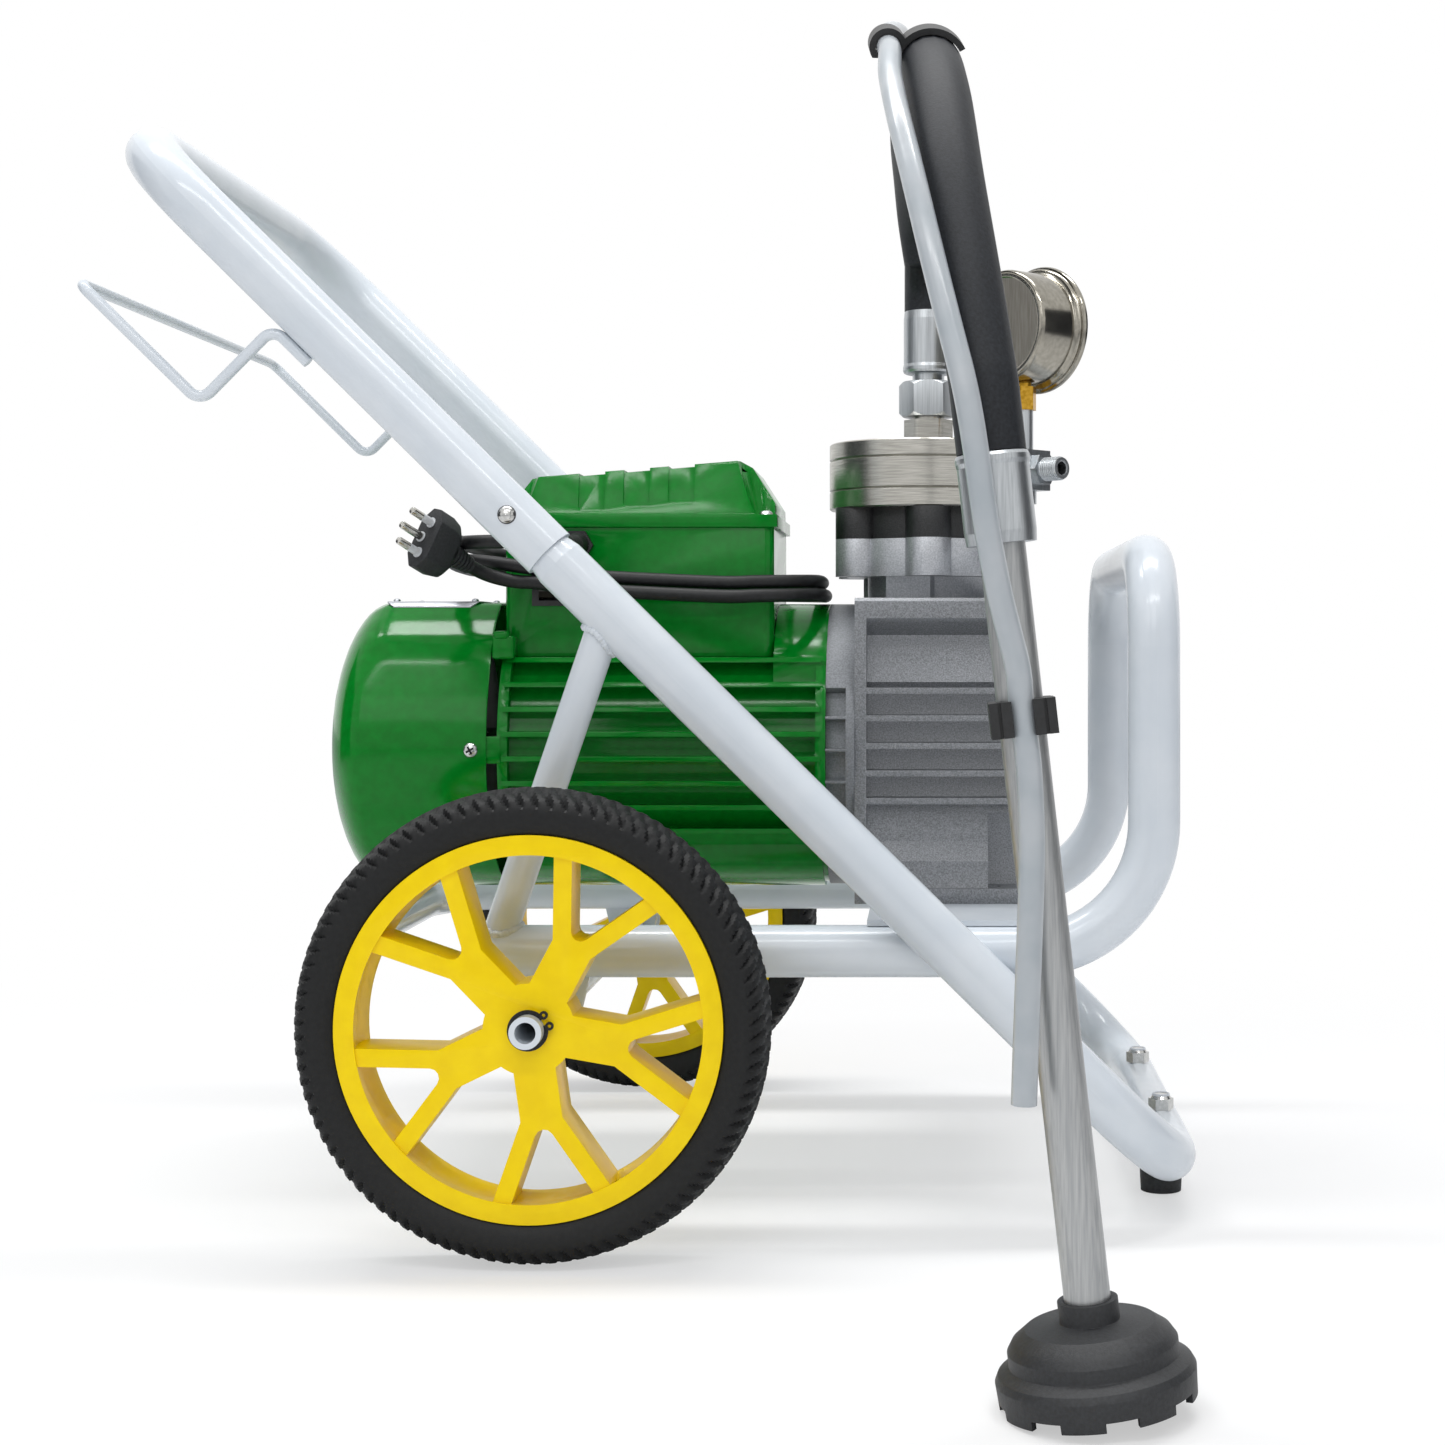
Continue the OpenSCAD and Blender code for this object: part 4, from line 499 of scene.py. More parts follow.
def dress(material, *names):
    """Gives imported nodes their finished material."""
    for name in names:
        for place in frame["nodes"][name].material_slots:
            place.material = material


dress(powder_coat, "frame_tube", "cradle_tube", "strut_tubes", "mount_plate", "handle", "hose_hook", "axle")


def weld(form, small_at, small_along, small_r, big_at, big_along, big_r, seed):
    """A rippled bead round the line where a small tube's skin meets a big tube's skin."""
    small_along, big_along = small_along.normalized(), big_along.normalized()
    side = small_along.orthogonal().normalized()
    other = small_along.cross(side)
    count, sides, width = 120, 8, 2.2
    line = []
    for k in range(count):
        base = small_at + spoke(side, other, k, count) * small_r
        gap = base - big_at
        u = gap - big_along * gap.dot(big_along)
        w = small_along - big_along * small_along.dot(big_along)
        qa, qb, qc = w.dot(w), 2 * u.dot(w), u.dot(u) - big_r ** 2
        under = qb * qb - 4 * qa * qc
        if under < 0:
            return
        met = min([(-qb - sqrt(under)) / 2 / qa, (-qb + sqrt(under)) / 2 / qa], key=abs)
        line.append(base + small_along * met)
    rings = []
    for k in range(count):
        along = (line[(k + 1) % count] - line[k - 1]).normalized()
        u = along.orthogonal().normalized()
        v = along.cross(u)
        r = width * (1 + 0.16 * sin(k * 2.1 + seed) + 0.1 * sin(k * 0.7 + 2 * seed))
        rings.append([form.verts.new(at(*(line[k] + spoke(u, v, s, sides) * r))) for s in range(sides)])
    for k in range(count):
        low, high = rings[k], rings[(k + 1) % count]
        shift = min(range(sides), key=lambda s: (high[s].co - low[0].co).length)
        for s in range(sides):
            after = (s + 1) % sides
            form.faces.new((low[s], low[after], high[(s + 1 + shift) % sides], high[(s + shift) % sides]))


slope = radians(44.6)
leg_way, forwards = Vector((-cos(slope), 0, sin(slope))), Vector((1, 0, 0))
leg_radius, cradle_radius, strut_radius, handle_radius = 14.75, 14.5, 9.5, 15.25
foot_x, leg_y, cradle_y, cradle_z = 137.5, 182, 160, 153.5


def leg_foot(side):
    """The low end of a leg's axis, in machine millimetres."""
    return Vector((foot_x, side * leg_y, 33.2))


beads = bmesh.new()
for side in (-1, 1):
    strut_foot = Vector((-241, side * cradle_y, 160))
    strut_way = Vector((-176, side * leg_y, 342)) - strut_foot
    leg = (leg_foot(side), leg_way, leg_radius)
    weld(beads, strut_foot, strut_way, strut_radius, *leg, seed=side)
    weld(beads, strut_foot, strut_way, strut_radius, Vector((0, side * cradle_y, cradle_z)), forwards,
         cradle_radius, seed=side + 1)
    weld(beads, Vector((18, side * cradle_y, cradle_z)), forwards, cradle_radius, *leg, seed=side + 2)
bmesh.ops.recalc_face_normals(beads, faces=beads.faces)
weld_beads = mesh_piece("Weld_Beads", beads, powder_coat, smooth_angle=80)
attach(weld_beads, "cart")

# Spring buttons of stamped steel leaf, nickel plated, that lock the handle.
nickel, shader = finish("Bright_Nickel_Plate", "#BDBDBB", 0.2, 1.0)
mottle(nickel, shader, "#B2B2B0", "#C8C8C6", 0.002)
relief(nickel, shader, 0.001, 0.00004, strength=0.3)
dress(nickel, "near_snap_button", "far_snap_button", "foot_bolts")

# The punched edge of each button's hole, turned out a little and coloured dark: painted shade for the shadow
# gap round the button.
hole_shadow_paint, shader = finish("Hole_Edge_Painted_Shadow", "#4A4B4D", 0.5, 0.6)
mottle(hole_shadow_paint, shader, "#37383A", "#6A6B6D", 0.0008)
snap_along, hole_sides = 515, 40
form = bmesh.new()
for side in (-1, 1):
    centre = leg_foot(side) + leg_way * snap_along
    over = leg_way.cross(Vector((0, 1, 0)))
    rings = []
    for r, high in ((4.3, -0.4), (4.35, 0.2), (4.7, 0.35), (5.1, 0.1), (5.15, -0.2)):
        rings.append([])
        for k in range(hole_sides):
            a, b = r * cos(pi * k / 20), r * sin(pi * k / 20)
            out = Vector((0, side * (sqrt(handle_radius ** 2 - b * b) + high), 0))
            rings[-1].append(form.verts.new(at(*(centre + leg_way * a + over * b + out))))
    bridge(form, rings)
bmesh.ops.recalc_face_normals(form, faces=form.faces)
hole_edges = mesh_piece("Button_Hole_Edges", form, hole_shadow_paint)
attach(hole_edges, "cart")

# ------------------------------------------------------------------ feet
# Turned solid rubber feet under the front crossbar, matt and a little dusty,
# held by bolts whose nuts have a pale nylon locking ring.
foot_rubber, shader = finish("Foot_Rubber", "#1B1C1D", 0.65)
mottle(foot_rubber, shader, "#161718", "#26282A", 0.002, detail=4)
relief(foot_rubber, shader, 0.0008, 0.0002, strength=0.5)
dress(foot_rubber, "rubber_feet")
lock_nylon, shader = finish("Lock_Ring_Nylon", "#C8CCD2", 0.45)
mottle(lock_nylon, shader, "#BEC3CA", "#D2D5DA", 0.001)
form = bmesh.new()
lock_ring = [(4.0, 55), (5.3, 55), (5.3, 56.9), (4.9, 57.3), (4.3, 57.3), (4.0, 57)]
for y in (-75, 75):
    turned(form, lock_ring, Vector((foot_x, y, 0)), (0, 0, 1), (1, 0, 0), 0, 32)
lock_rings = mesh_piece("Nut_Lock_Rings", form, lock_nylon)
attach(lock_rings, "cart")

# ------------------------------------------------------------------ wheels
# Moulded yellow plastic rims with five forked arms and soft edges, and solid
# black rubber tyres with slanted shoulder lugs, a round sidewall and a bead lip.


def soften(name, node, width, material, segments=2, angle=30):
    """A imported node's own shape with its moulded or cast edges rounded."""
    source = frame["nodes"][node]
    form = bmesh.new()
    form.from_mesh(source.data)
    bmesh.ops.remove_doubles(form, verts=form.verts, dist=1e-6)
    bmesh.ops.dissolve_limit(form, angle_limit=radians(0.6), verts=form.verts, edges=form.edges)
    made = mesh_piece(name, form, material)
    bevel = made.modifiers.new("Rounded_Edges", "BEVEL")
    bevel.width = width
    bevel.segments = segments
    bevel.limit_method = "ANGLE"
    bevel.angle_limit = radians(angle)
    bevel.use_clamp_overlap = True
    bpy.context.view_layer.update()
    done = bpy.data.meshes.new_from_object(made.evaluated_get(bpy.context.evaluated_depsgraph_get()))
    made.modifiers.clear()
    made.data = done
    for face in done.polygons:
        face.use_smooth = True
    done.set_sharp_from_angle(angle=radians(40))
    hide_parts(node)
    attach(made, source["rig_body"])
    return made


# Moulded plastic with an even colour, a soft gloss and very slight waviness.
rim_plastic, shader = finish("Yellow_Moulded_Polypropylene", "#F4D200", 0.3, Specular_IOR_Level=0.2)
mottle(rim_plastic, shader, "#F1CE00", "#F7D600", 0.012, detail=4)
relief(rim_plastic, shader, 0.0016, 0.00005, strength=0.3)
for side in ("near", "far"):
    rim = soften(side.title() + "_Rim", side + "_rim", 0.0014, rim_plastic, segments=3)

# Dull black rubber with a fine rough skin that catches a little light on its lugs.
tyre_rubber, shader = finish("Solid_Tyre_Rubber", "#0F1011", 0.55, Specular_IOR_Level=0.28)
mottle(tyre_rubber, shader, "#0B0C0D", "#151617", 0.003, detail=5, contrast=(0.3, 0.7))
relief(tyre_rubber, shader, 0.0007, 0.00025, detail=4, strength=0.5)
tyre_profile = [(98.2, 10), (98.2, 12), (101.3, 12.2), (101.3, 15.8), (103.4, 17.6), (106, 18.8), (109, 19.6),
                (112, 20), (114.5, 19.9), (116.6, 19.3), (118.4, 18.2), (120, 16.6), (121.4, 14.4),
                (122.6, 11.8), (123.6, 8.8), (124.4, 5.6), (124.9, 2.4), (125, 0)]
tyre_profile += [(r, -y) for r, y in reversed(tyre_profile[:-1])]
lugs = 96
slices = lugs * 7
wheel_x, wheel_radius, tread_from = -208, 125, 114.8


def lug(turn, r, y):
    """How deep the tread is cut at one point, in millimetres."""
    if r < tread_from:
        return 0.0
    lean_back = 0.55 * (wheel_radius - r) / 10 + 0.045 * abs(y)
    phase = (turn * lugs + (0.5 if y < 0 else 0.0) + lean_back) % 1.0
    groove = 1.0 if phase < 0.26 else 0.35 if phase < 0.36 else 0.0
    ring = 0.8 if abs(abs(y) - 7.2) < 1.7 else 0.0
    edge = min(1.0, (r - tread_from) / 3)
    return edge * max(1.5 * groove, ring)


for side, y in (("near", -234), ("far", 234)):
    form = bmesh.new()
    rings = []
    for k in range(slices):
        turn = k / slices
        c, s = cos(2 * pi * turn), sin(2 * pi * turn)
        spots = []
        for r, across in tyre_profile:
            deep = lug(turn, r, across)
            inwards = (-1 if across > 0 else 1) * deep * min(1.0, abs(across) / 22)
            spots.append(form.verts.new(at(wheel_x + (r - deep) * c, y + across + inwards,
                                           wheel_radius + (r - deep) * s)))
        rings.append(spots)
    for k in range(slices):
        a, b = rings[k], rings[(k + 1) % slices]
        for j in range(len(tyre_profile) - 1):
            form.faces.new((a[j], b[j], b[j + 1], a[j + 1]))
        form.faces.new((a[-1], b[-1], b[0], a[0]))
    bmesh.ops.recalc_face_normals(form, faces=form.faces)
    tyre = mesh_piece(side.title() + "_Tyre", form, tyre_rubber, smooth_angle=32)
    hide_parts(side + "_tyre")
    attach(tyre, side + "_wheel")

# Black phosphate steel circlips that hold the wheels on the axle.
black_steel, shader = finish("Black_Phosphate_Steel", "#1E1F21", 0.45, 0.6)
mottle(black_steel, shader, "#18191A", "#2A2B2D", 0.0012)
dress(black_steel, "circlips", "head_bolts")

# ------------------------------------------------------------------ motor
# Finned aluminium motor body and pressed steel fan cowl in glossy green enamel,
# with a bare aluminium plate riveted on the cowl's flat top.

# Thick glossy enamel with a shallow orange peel in its reflections.
enamel, shader = finish("Glossy_Green_Enamel", "#00771E", 0.15, Specular_IOR_Level=0.22)
mottle(enamel, shader, "#00721C", "#007C21", 0.006, detail=4)
relief(enamel, shader, 0.0026, 0.00007, detail=2, strength=0.35)
housing = soften("Motor_Housing", "motor_housing", 0.0006, enamel)
motor_z, cowl_rim = 262, 88.5
half_bends = [(82, 33.3), (74, 53), (66.5, 66.5), (54, 78), (40, 87.5)]
cowl_bends = half_bends + [(-y, z) for y, z in reversed(half_bends)]


def cowl_radius(turn, inset):
    """How far the cowl's wall is from its axis at an angle, with soft bends between its flats."""
    total = 0
    for shift in (-1.6, -0.8, 0, 0.8, 1.6):
        c, s = cos(radians(turn + shift)), sin(radians(turn + shift))
        far = cowl_rim
        for (ay, az), (by, bz) in zip(cowl_bends, cowl_bends[1:]):
            run_y, run_z = by - ay, bz - az
            area = c * run_z - s * run_y
            if abs(area) > 1e-9:
                along = (ay * run_z - az * run_y) / area
                part = ((along * c - ay) * run_y + (along * s - az) * run_z) / (run_y ** 2 + run_z ** 2)
                if along > 0 and 0 <= part <= 1:
                    far = max(far, along)
        total += far
    return total / 5 - inset


form = bmesh.new()
turns = 240
dome_x = -336
dome_angles = (0, 4, 8, 13, 18, 24, 30, 37, 44, 51, 58, 65, 72, 79, 86)
skins = []
for inset, deep in ((0, 32.5), (1.8, 30.7)):
    stations = [(x, 0.0) for x in (-262, -263, -290, -322, -330)]
    stations += [(dome_x - deep * sin(radians(a)), radians(a)) for a in dome_angles]
    rings = []
    for x, angle in stations:
        flat = max(0.0, 1 - max(0.0, -330 - x) / 20) ** 1.5
        ring = []
        for k in range(turns):
            turn = 360 * k / turns
            r = (cowl_rim - inset + (cowl_radius(turn, inset) - cowl_rim + inset) * flat) * cos(angle)
            if x > -262.5:
                r += 0.35 if inset else -0.35
            ring.append(form.verts.new(at(x, r * cos(radians(turn)), motor_z + r * sin(radians(turn)))))
        rings.append(ring)
    tip = form.verts.new(at(dome_x - deep, 0, motor_z))
    skins.append((rings, tip))
for rings, tip in skins:
    bridge(form, rings)
    for k in range(turns):
        form.faces.new((rings[-1][k], rings[-1][(k + 1) % turns], tip))
bridge(form, [skins[0][0][0], skins[1][0][0]])
bmesh.ops.recalc_face_normals(form, faces=form.faces)
cowl = mesh_piece("Fan_Cowl", form, enamel, smooth_angle=50)

# The grille's upright slots are punched through the domed end.
form = bmesh.new()
grille_radius, slot_pitch, slot_wide = 62, 10, 4
for i in range(-5, 6):
    half = sqrt(grille_radius ** 2 - (i * slot_pitch) ** 2) - 2
    spots = bmesh.ops.create_cube(form, size=1)["verts"]
    for spot in spots:
        spot.co = at(-356 + spot.co.x * 37, slot_pitch * i + spot.co.y * slot_wide,
                     motor_z + spot.co.z * 2 * half)
punch = mesh_piece("Slot_Punch", form, enamel)
cut = cowl.modifiers.new("Slots", "BOOLEAN")
cut.object, cut.operation, cut.solver = punch, "DIFFERENCE", "EXACT"
bpy.context.view_layer.update()
pierced = bpy.data.meshes.new_from_object(cowl.evaluated_get(bpy.context.evaluated_depsgraph_get()))
cowl.modifiers.clear()
cowl.data = pierced
pierced.set_sharp_from_angle(angle=radians(40))
bpy.data.objects.remove(punch)
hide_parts("fan_cowl")
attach(cowl, "cart")

# Cast lugs at the motor's shoulders, level with its top fins, with rounded caps.
form = bmesh.new()
for side in (-1, 1):
    spots = bmesh.ops.create_cube(form, size=1)["verts"]
    for spot in spots:
        spot.co = at(-254.5 + spot.co.x * 13, side * (64 + spot.co.y * 22), 322.5 + spot.co.z * 14)
    spots = bmesh.ops.create_cube(form, size=1)["verts"]
    for spot in spots:
        spot.co = at(-255.5 + spot.co.x * 9, side * (72 + spot.co.y * 8), 330 + spot.co.z * 5)
bmesh.ops.bevel(form, geom=form.edges[:], offset=0.0018, segments=3, affect="EDGES", profile=0.5)
bmesh.ops.recalc_face_normals(form, faces=form.faces)
shoulder_lugs = mesh_piece("Motor_Shoulder_Lugs", form, enamel)
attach(shoulder_lugs, "cart")

# A blank plate of bare anodised aluminium, bent over the cowl's flats, with a fine
# grain along the motor.
bare_plate_metal, shader = finish("Bare_Anodised_Plate", "#C3C6CC", 0.36, 1.0)
mottle(bare_plate_metal, shader, "#B7BAC1", "#CFD1D6", 0.0007, stretch=(14, 1, 1))
form = bmesh.new()
plate_flat, plate_thick = 38, 0.8
plate_bend = [(44.2, 346.9), (42.6, 348.2), (40.4, 349.55), (plate_flat, 349.9)]
plate_edge = [(-y, z) for y, z in plate_bend] + [(0, 349.9)] + plate_bend[::-1]
rows = []
for y, z in plate_edge:
    trim = 5 * max(0, (abs(y) - plate_flat) / 6.2) ** 2
    rows.append([[form.verts.new(at(x, y, z + lift)) for x in (-332 + trim, -325, -303, -281, -274.6 - trim)]
                 for lift in (0.0, plate_thick)])
for (low_a, high_a), (low_b, high_b) in zip(rows, rows[1:]):
    for j in range(4):
        form.faces.new((high_a[j], high_a[j + 1], high_b[j + 1], high_b[j]))
        form.faces.new((low_a[j], low_b[j], low_b[j + 1], low_a[j + 1]))
    form.faces.new((low_a[0], high_a[0], high_b[0], low_b[0]))
    form.faces.new((low_a[4], low_b[4], high_b[4], high_a[4]))
for low, high in (rows[0], rows[-1]):
    for j in range(4):
        form.faces.new((low[j], low[j + 1], high[j + 1], high[j]))
bmesh.ops.recalc_face_normals(form, faces=form.faces)
rivet = [(2.2, 0), (2.2, 0.8), (1.8, 1.5), (0.8, 1.9), (0.05, 2)]
for x in (-327, -279):
    for y in (-34, 34):
        turned(form, rivet, Vector((x, y, 350.5)), (0, 0, 1), (1, 0, 0), 0, 20)
plate = mesh_piece("Bare_Plate", form, bare_plate_metal)
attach(plate, "cart")

# Laminated stator and rotor, ground shaft, shielded bearings and a moulded fan.
laminations, shader = finish("Varnished_Laminations", "#7B5A3A", 0.45, 0.4)
mottle(laminations, shader, "#6A4C30", "#8C6844", 0.001, stretch=(0.4, 4, 4))
dress(laminations, "stator")
ground_steel, shader = finish("Ground_Steel", "#A9ABAE", 0.25, 1.0)
mottle(ground_steel, shader, "#9EA0A3", "#B6B8BB", 0.0008)
dress(ground_steel, "rotor", "drive_shaft", "bearings", "plunger", "plunger_spring")
fan_plastic, shader = finish("Black_Fan_Nylon", "#1A1B1C", 0.55)
mottle(fan_plastic, shader, "#161718", "#242527", 0.002)
dress(fan_plastic, "cooling_fan")

# ------------------------------------------------------------------ control box
# Pressed steel box and ribbed lid in the motor's green enamel, with a black
# rocker switch in a bezel on its near side and a nylon gland above it.

box = soften("Control_Box", "control_box", 0.0008, enamel)
lid = soften("Box_Lid", "box_lid", 0.0007, enamel, angle=20)
nylon, shader = finish("Black_Moulded_Nylon", "#0F1011", 0.42)
mottle(nylon, shader, "#0C0D0E", "#17181A", 0.002, detail=4)
relief(nylon, shader, 0.0006, 0.0001, strength=0.4)
dress(nylon, "switch_bezel", "cable_gland", "prime_knob", "pressure_knob", "tube_clip", "arch_clip")
rocker_plastic, shader = finish("Rocker_Polycarbonate", "#23221C", 0.3)
mottle(rocker_plastic, shader, "#1F1E19", "#2B2922", 0.003)
dress(rocker_plastic, "rocker_switch")

# A printed ring for "off" on the rocker's lower half, laid on the rocker's own face.
print_white, shader = finish("White_Rocker_Print", "#C9C8BE", 0.45)
mottle(print_white, shader, "#BDBCB2", "#D2D1C8", 0.001)
rocker = frame["nodes"]["rocker_switch"]
into = rocker.matrix_world.inverted()
form = bmesh.new()
ring_at = Vector((-222.5, 0, 355.5))
rings = []
for r in (2.3, 3.1):
    rings.append([])
    for k in range(32):
        x, z = ring_at.x + r * cos(pi * k / 16), ring_at.z + r * sin(pi * k / 16)
        start, way = into @ at(x, -140, z), into.to_3x3() @ Vector((0, 1, 0))
        met, place, _, _ = rocker.ray_cast(start, way.normalized())
        spot = rocker.matrix_world @ place if met else at(x, -66, z)
        rings[-1].append(form.verts.new(spot - Vector((0, 0.00012, 0))))
bridge(form, rings)
bmesh.ops.recalc_face_normals(form, faces=form.faces)
off_mark = mesh_piece("Rocker_Off_Mark", form, print_white)
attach(off_mark, "rocker")

# Pan head screws with a cross recess, zinc plated: two in the cowl, four in the lid.
screw_zinc, shader = finish("Bright_Zinc_Screws", "#C2C4C4", 0.24, 1.0)
mottle(screw_zinc, shader, "#B6B8B8", "#CCCECE", 0.001)
relief(screw_zinc, shader, 0.0006, 0.00003, strength=0.3)
recess_dark, shader = finish("Screw_Recess_Shade", "#3A3B3C", 0.5, 0.8)
mottle(recess_dark, shader, "#2C2D2E", "#4A4B4C", 0.0006)


def far_in(face, seat):
    """How far a face lies from a point, in millimetres."""
    return (face.calc_center_median() - at(*seat)).length * 1000


def pan_screw(form, seat, way, across, r, high, shank, turn):
    """A pan head with a cross recess on a plain shank, seated at a point."""
    way, across = Vector(way), Vector(across)
    other = way.cross(across)
    sides, steps = 64, 16
    rings = []
    for step in range(steps + 1):
        far = max(0.02, r * (1 - step / steps))
        lift = high * (1 - (far / r) ** 3.2) ** 0.7
        ring = []
        for k in range(sides):
            a = 2 * pi * k / sides
            u, v = far * cos(a - turn), far * sin(a - turn)
            cut = (abs(u) < 0.5 and abs(v) < 2.3) or (abs(v) < 0.5 and abs(u) < 2.3)
            deep = lift - (1.5 if cut else 0)
            spot = seat + across * far * cos(a) + other * far * sin(a) + way * deep
            ring.append(form.verts.new(at(*spot)))
        rings.append(ring)
    for low, top in zip(rings, rings[1:]):
        for k in range(sides):
            face = form.faces.new((low[k], low[(k + 1) % sides], top[(k + 1) % sides], top[k]))
            depth = min((v.co - at(*seat)).dot(way) * 1000 for v in face.verts)
            face.material_index = 1 if depth < high - 1.45 and far_in(face, seat) < 2.6 else 0
    form.faces.new(rings[-1]).material_index = 1
    turned(form, [(2.0, -shank), (2.0, 0), (r, 0)], seat, way, across, 0, 24)


form = bmesh.new()
for side in (-1, 1):
    pan_screw(form, Vector((-271, side * 88.55, motor_z)), (0, side, 0), (1, 0, 0), 4.5, 2.6, 9, 0.5)
for x in (-251, -99):
    for y in (-57, 57):
        pan_screw(form, Vector((x, y, 402.5)), (0, 0, 1), (1, 0, 0), 4.4, 2.8, 12, 0.3 + x * 0.01 + y * 0.1)
bmesh.ops.recalc_face_normals(form, faces=form.faces)
screws = mesh_piece("Cover_Screws", form, screw_zinc, recess_dark)
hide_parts("cover_screws")
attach(screws, "cart")

# ------------------------------------------------------------------ gearbox
# Aluminium sand castings: a ribbed gear housing and lobed flange in silver
# lacquer with a fine sparkle, a grey flange behind and a black spacer above.

# The rough cast skin shows through each lacquer as a fine, sparkling grain.
silver_lacquer, shader = finish("Silver_Lacquered_Casting", "#7A7D81", 0.42, 0.55)
mottle(silver_lacquer, shader, "#65686B", "#919397", 0.0008, detail=6, contrast=(0.3, 0.7))
relief(silver_lacquer, shader, 0.0007, 0.00035, detail=5, strength=0.6)
gear_case = soften("Gear_Housing", "gear_housing", 0.0009, silver_lacquer)
bright_lacquer, shader = finish("Bright_Silver_Lacquer", "#B2B5BA", 0.36, 0.6)
mottle(bright_lacquer, shader, "#9DA0A5", "#C6C8CC", 0.0009, detail=6, contrast=(0.3, 0.7))
relief(bright_lacquer, shader, 0.0008, 0.0003, detail=5, strength=0.5)
head_flange = soften("Head_Flange", "head_flange", 0.0012, bright_lacquer)
grey_lacquer, shader = finish("Grey_Lacquered_Casting", "#787B7F", 0.5, 0.3)
mottle(grey_lacquer, shader, "#6D7074", "#84878B", 0.001, detail=6)
relief(grey_lacquer, shader, 0.0008, 0.0003, detail=4, strength=0.5)
adapter = soften("Adapter_Flange", "adapter_flange", 0.0006, grey_lacquer)
black_lacquer, shader = finish("Black_Lacquered_Casting", "#151617", 0.4)
mottle(black_lacquer, shader, "#101112", "#232426", 0.001, detail=6)
relief(black_lacquer, shader, 0.0009, 0.0004, detail=5, strength=0.7)
spacer = soften("Head_Spacer", "head_spacer", 0.0014, black_lacquer)

# ------------------------------------------------------------------ pump head and fittings
# Turned stainless discs and inlet, and zinc plated steel fittings. The lathe and
# the plating leave a satin metal whose reflections are broken by fine marks.

stainless, shader = finish("Turned_Stainless", "#AFADA6", 0.27, 1.0)
mottle(stainless, shader, "#A3A19A", "#BDBBB4", 0.0004, detail=2, stretch=(40, 40, 1))
relief(stainless, shader, 0.0004, 0.00003, strength=0.35, stretch=(60, 60, 1))
dress(stainless, "lower_disc", "middle_disc", "upper_disc", "inlet_fitting")
plated_steel, shader = finish("Zinc_Plated_Steel", "#B4B8BB", 0.34, 1.0)
mottle(plated_steel, shader, "#ABAFB2", "#BFC3C6", 0.0008, detail=3, stretch=(1, 1, 40))
relief(plated_steel, shader, 0.0012, 0.00005, strength=0.3)
dress(plated_steel, "hose_ferrules", "valve_block", "return_valve")
nut = soften("Swivel_Nut", "swivel_nut", 0.0006, plated_steel)
head_x, block_at = -1, 81
block_reach = block_at * cos(pi / 4)
outlet_seat = Vector((head_x + block_reach, -block_reach, 429))
outlet_way = Vector((cos(pi / 4), -cos(pi / 4), 0))
form = bmesh.new()
thread = [(6.55, 18)]
for i in range(8):
    thread += [(6.55, 18.5 + 1.5 * i), (7.15, 19.0 + 1.5 * i), (7.15, 19.3 + 1.5 * i), (6.55, 19.8 + 1.5 * i)]
thread += [(6.75, 30.6), (6.5, 31.3), (5.6, 31.5), (4.1, 31.1), (4.02, 30)]
turned(form, thread, outlet_seat, outlet_way, (0, 0, 1), 0, 48)
outlet_thread = mesh_piece("Outlet_Thread", form, plated_steel)
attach(outlet_thread, "cart")
diaphragm_rubber, shader = finish("Diaphragm_Rubber", "#303133", 0.7)
mottle(diaphragm_rubber, shader, "#2A2B2D", "#38393B", 0.001)
dress(diaphragm_rubber, "diaphragm")

# ------------------------------------------------------------------ suction tube and strainer
# Drawn aluminium tube with handling scuffs, in a moulded black strainer cup.

drawn_tube, shader = finish("Drawn_Aluminium_Tube", "#A7A8A8", 0.42, 0.85)
mottle(drawn_tube, shader, "#9C9E9F", "#B0B1B1", 0.0012, detail=4, stretch=(1, 1, 30))
relief(drawn_tube, shader, 0.0008, 0.00006, strength=0.35, stretch=(1, 1, 30))
dress(drawn_tube, "suction_tube")
strainer_plastic, shader = finish("Black_Moulded_Polyethylene", "#1E2022", 0.55)
mottle(strainer_plastic, shader, "#18191B", "#26282B", 0.0016, detail=5, contrast=(0.3, 0.7))
relief(strainer_plastic, shader, 0.0008, 0.00025, detail=4, strength=0.5)
strainer = soften("Strainer", "strainer", 0.001, strainer_plastic, segments=3)

# ------------------------------------------------------------------ gauge
# Stainless pressure gauge on a brass hexagon. Its dial faces forwards and to the
# far side, and has plain numbers only.

brass, shader = finish("Bare_Brass", "#B98F2E", 0.28, 1.0)
mottle(brass, shader, "#A97F24", "#C79C3C", 0.002, detail=4)
dress(brass, "gauge_adapter")
polished, shader = finish("Polished_Stainless_Steel", "#98948A", 0.18, 1.0)
mottle(polished, shader, "#918D83", "#A19D93", 0.003, detail=3)
relief(polished, shader, 0.006, 0.00002, strength=0.15)
brushed_back, shader = finish("Brushed_Gauge_Back", "#9C978E", 0.42, 0.9)
mottle(brushed_back, shader, "#8F8A81", "#A8A39A", 0.0006, detail=4, stretch=(1, 1, 25))
dial_white, shader = finish("White_Printed_Dial", "#E6E7E6", 0.5)
mottle(dial_white, shader, "#E2E3E2", "#EAEBEA", 0.01)
print_black, shader = finish("Black_Dial_Print", "#131313", 0.5)
mottle(print_black, shader, "#101010", "#181818", 0.002)
facing = radians(43)
gauge_way = Vector((cos(facing), sin(facing), 0))
dial_right = Vector((-sin(facing), cos(facing), 0))
up = Vector((0, 0, 1))
gauge_rear = Vector((head_x + block_reach, -block_reach, 515)) - gauge_way * 18
case_form = bmesh.new()
turned(case_form, [(0.05, 0.7), (28.6, 0.7)], gauge_rear, gauge_way, dial_right, 1, 96)
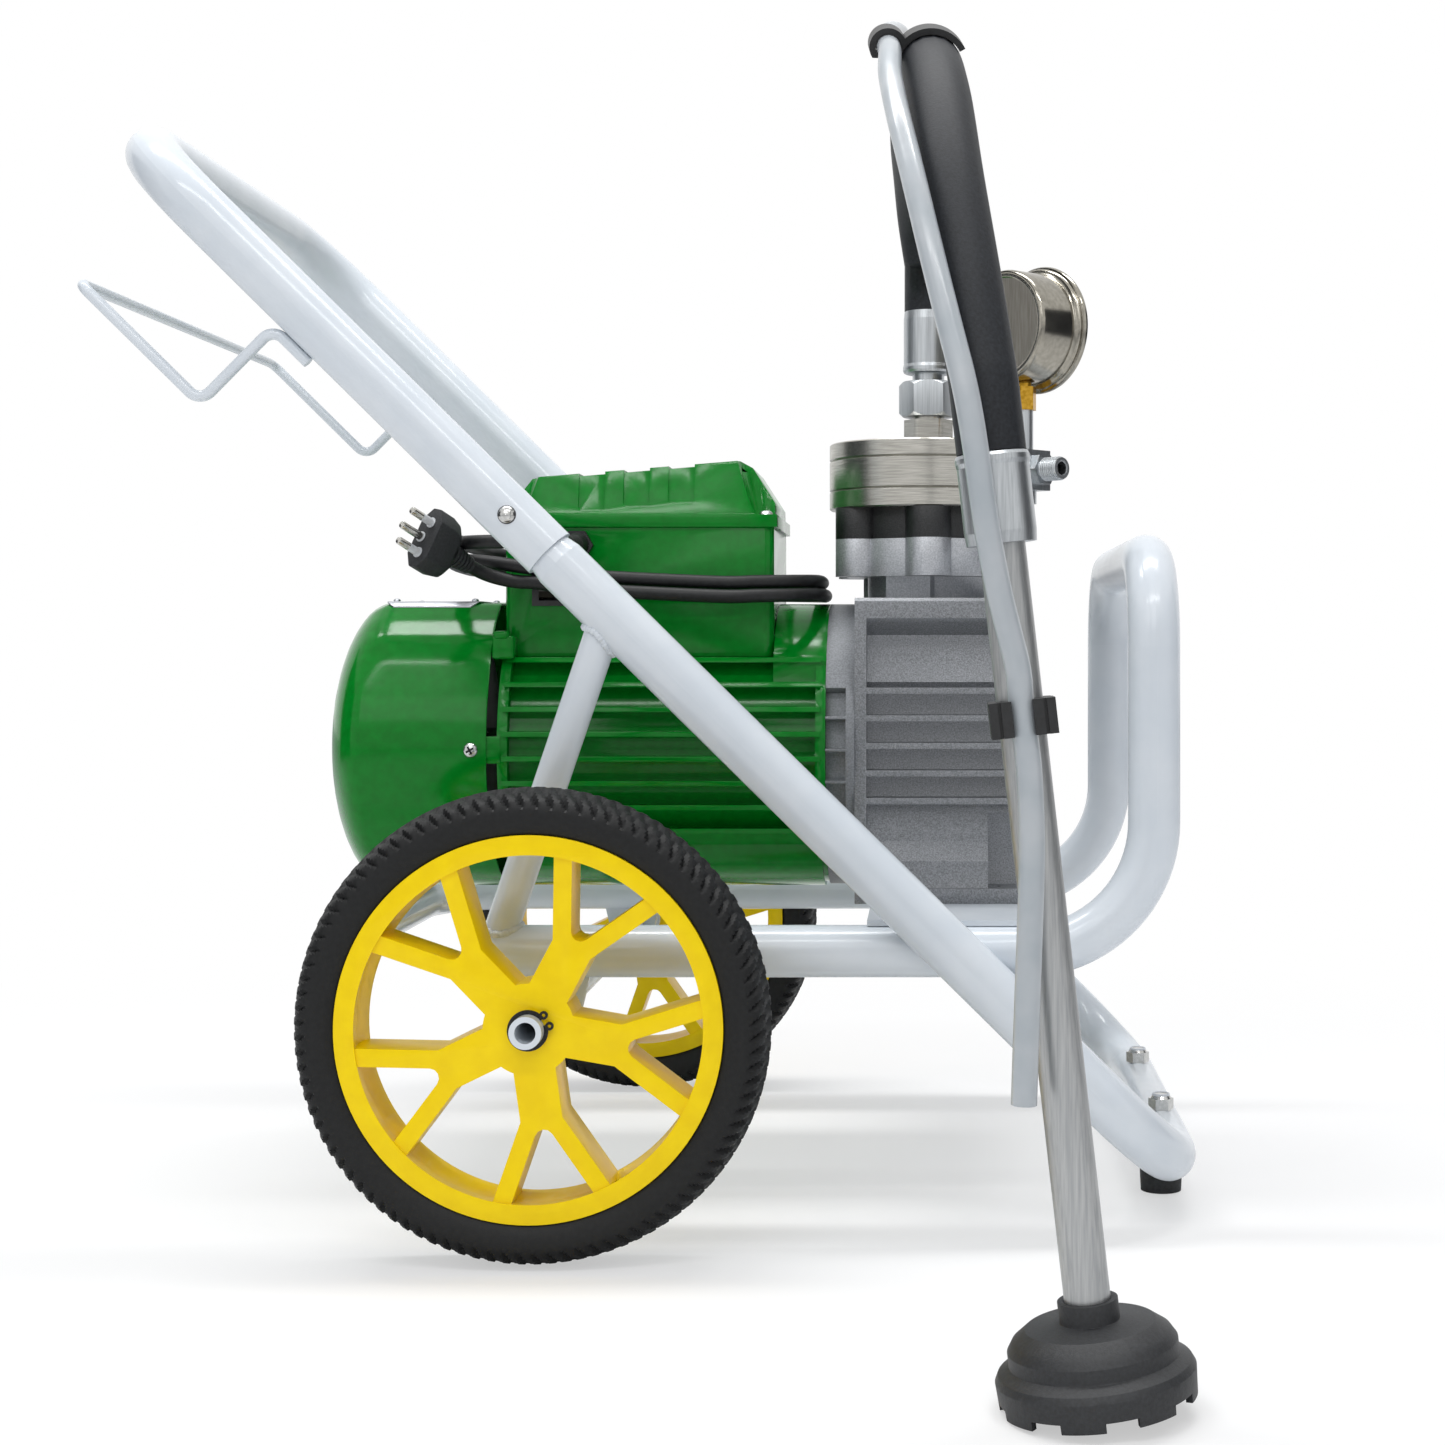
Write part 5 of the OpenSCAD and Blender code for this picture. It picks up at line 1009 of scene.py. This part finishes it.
housing_profile = [(28.6, 0.7), (29.2, 0.25), (30.2, 0), (31.4, 0.1), (32.5, 0.6), (33.2, 1.5), (33.5, 2.8),
                   (33.5, 27.2), (34.2, 27.9), (35.6, 28.3), (36.5, 28.8), (36.9, 29.6), (36.6, 30.4),
                   (36.1, 30.8), (36.6, 31.1), (37.8, 31.4), (38.4, 32.2), (38.5, 33), (38.2, 34.1),
                   (37.3, 34.8), (36, 35), (32.6, 35), (31.2, 34.5), (30.55, 33.6), (30.5, 27)]
turned(case_form, housing_profile, gauge_rear, gauge_way, dial_right, 0, 96)
turned(case_form, [(30.5, 27), (0.05, 27)], gauge_rear, gauge_way, dial_right, 2, 96)
dial_full, dial_sweep = 40, 270


def dial_point(value, r, aside=0.0):
    """A place on the dial for a reading of nought to forty, at a radius, in machine millimetres."""
    turn = radians(-dial_sweep / 2 + dial_sweep * value / dial_full)
    out = dial_right * sin(turn) + up * cos(turn)
    return gauge_rear + gauge_way * 27.06 + out * r + gauge_way.cross(out) * aside


outer = 27.4
for value in range(dial_full + 1):
    inner, half = (22.8, 0.38) if value % 10 == 0 else (24.2, 0.26) if value % 5 == 0 else (25.2, 0.14)
    spots = [dial_point(value, inner, -half), dial_point(value, inner, half), dial_point(value, outer, half),
             dial_point(value, outer, -half)]
    case_form.faces.new([case_form.verts.new(at(*spot)) for spot in spots]).material_index = 3
for value in range(0, dial_full + 1, 10):
    letters = bpy.data.curves.new("Dial_Number", "FONT")
    letters.body = str(value)
    letters.size = 6.2
    letters.align_x, letters.align_y = "CENTER", "CENTER"
    holder = bpy.data.objects.new("Dial_Number", letters)
    flat = bpy.data.meshes.new_from_object(holder)
    centre = dial_point(value, 18.6)
    corners = [case_form.verts.new(at(*(centre + dial_right * v.co.x + up * v.co.y))) for v in flat.vertices]
    for face in flat.polygons:
        case_form.faces.new([corners[k] for k in face.vertices]).material_index = 3
    bpy.data.objects.remove(holder)
    bpy.data.meshes.remove(flat)
    bpy.data.curves.remove(letters)
gauge_body = mesh_piece("Gauge_Housing", case_form, polished, brushed_back, dial_white, print_black)
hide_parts("gauge_case")
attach(gauge_body, "cart")
window, shader = finish("Gauge_Window", "#FFFFFF", 0.03, 0.0, Transmission_Weight=1.0, IOR=1.45, Alpha=0.35)
window.blend_method = "BLEND"
dress(window, "gauge_glass")
pointer_black, shader = finish("Black_Pointer", "#0B0B0B", 0.4)
mottle(pointer_black, shader, "#090909", "#101010", 0.002)
dress(pointer_black, "gauge_pointer")
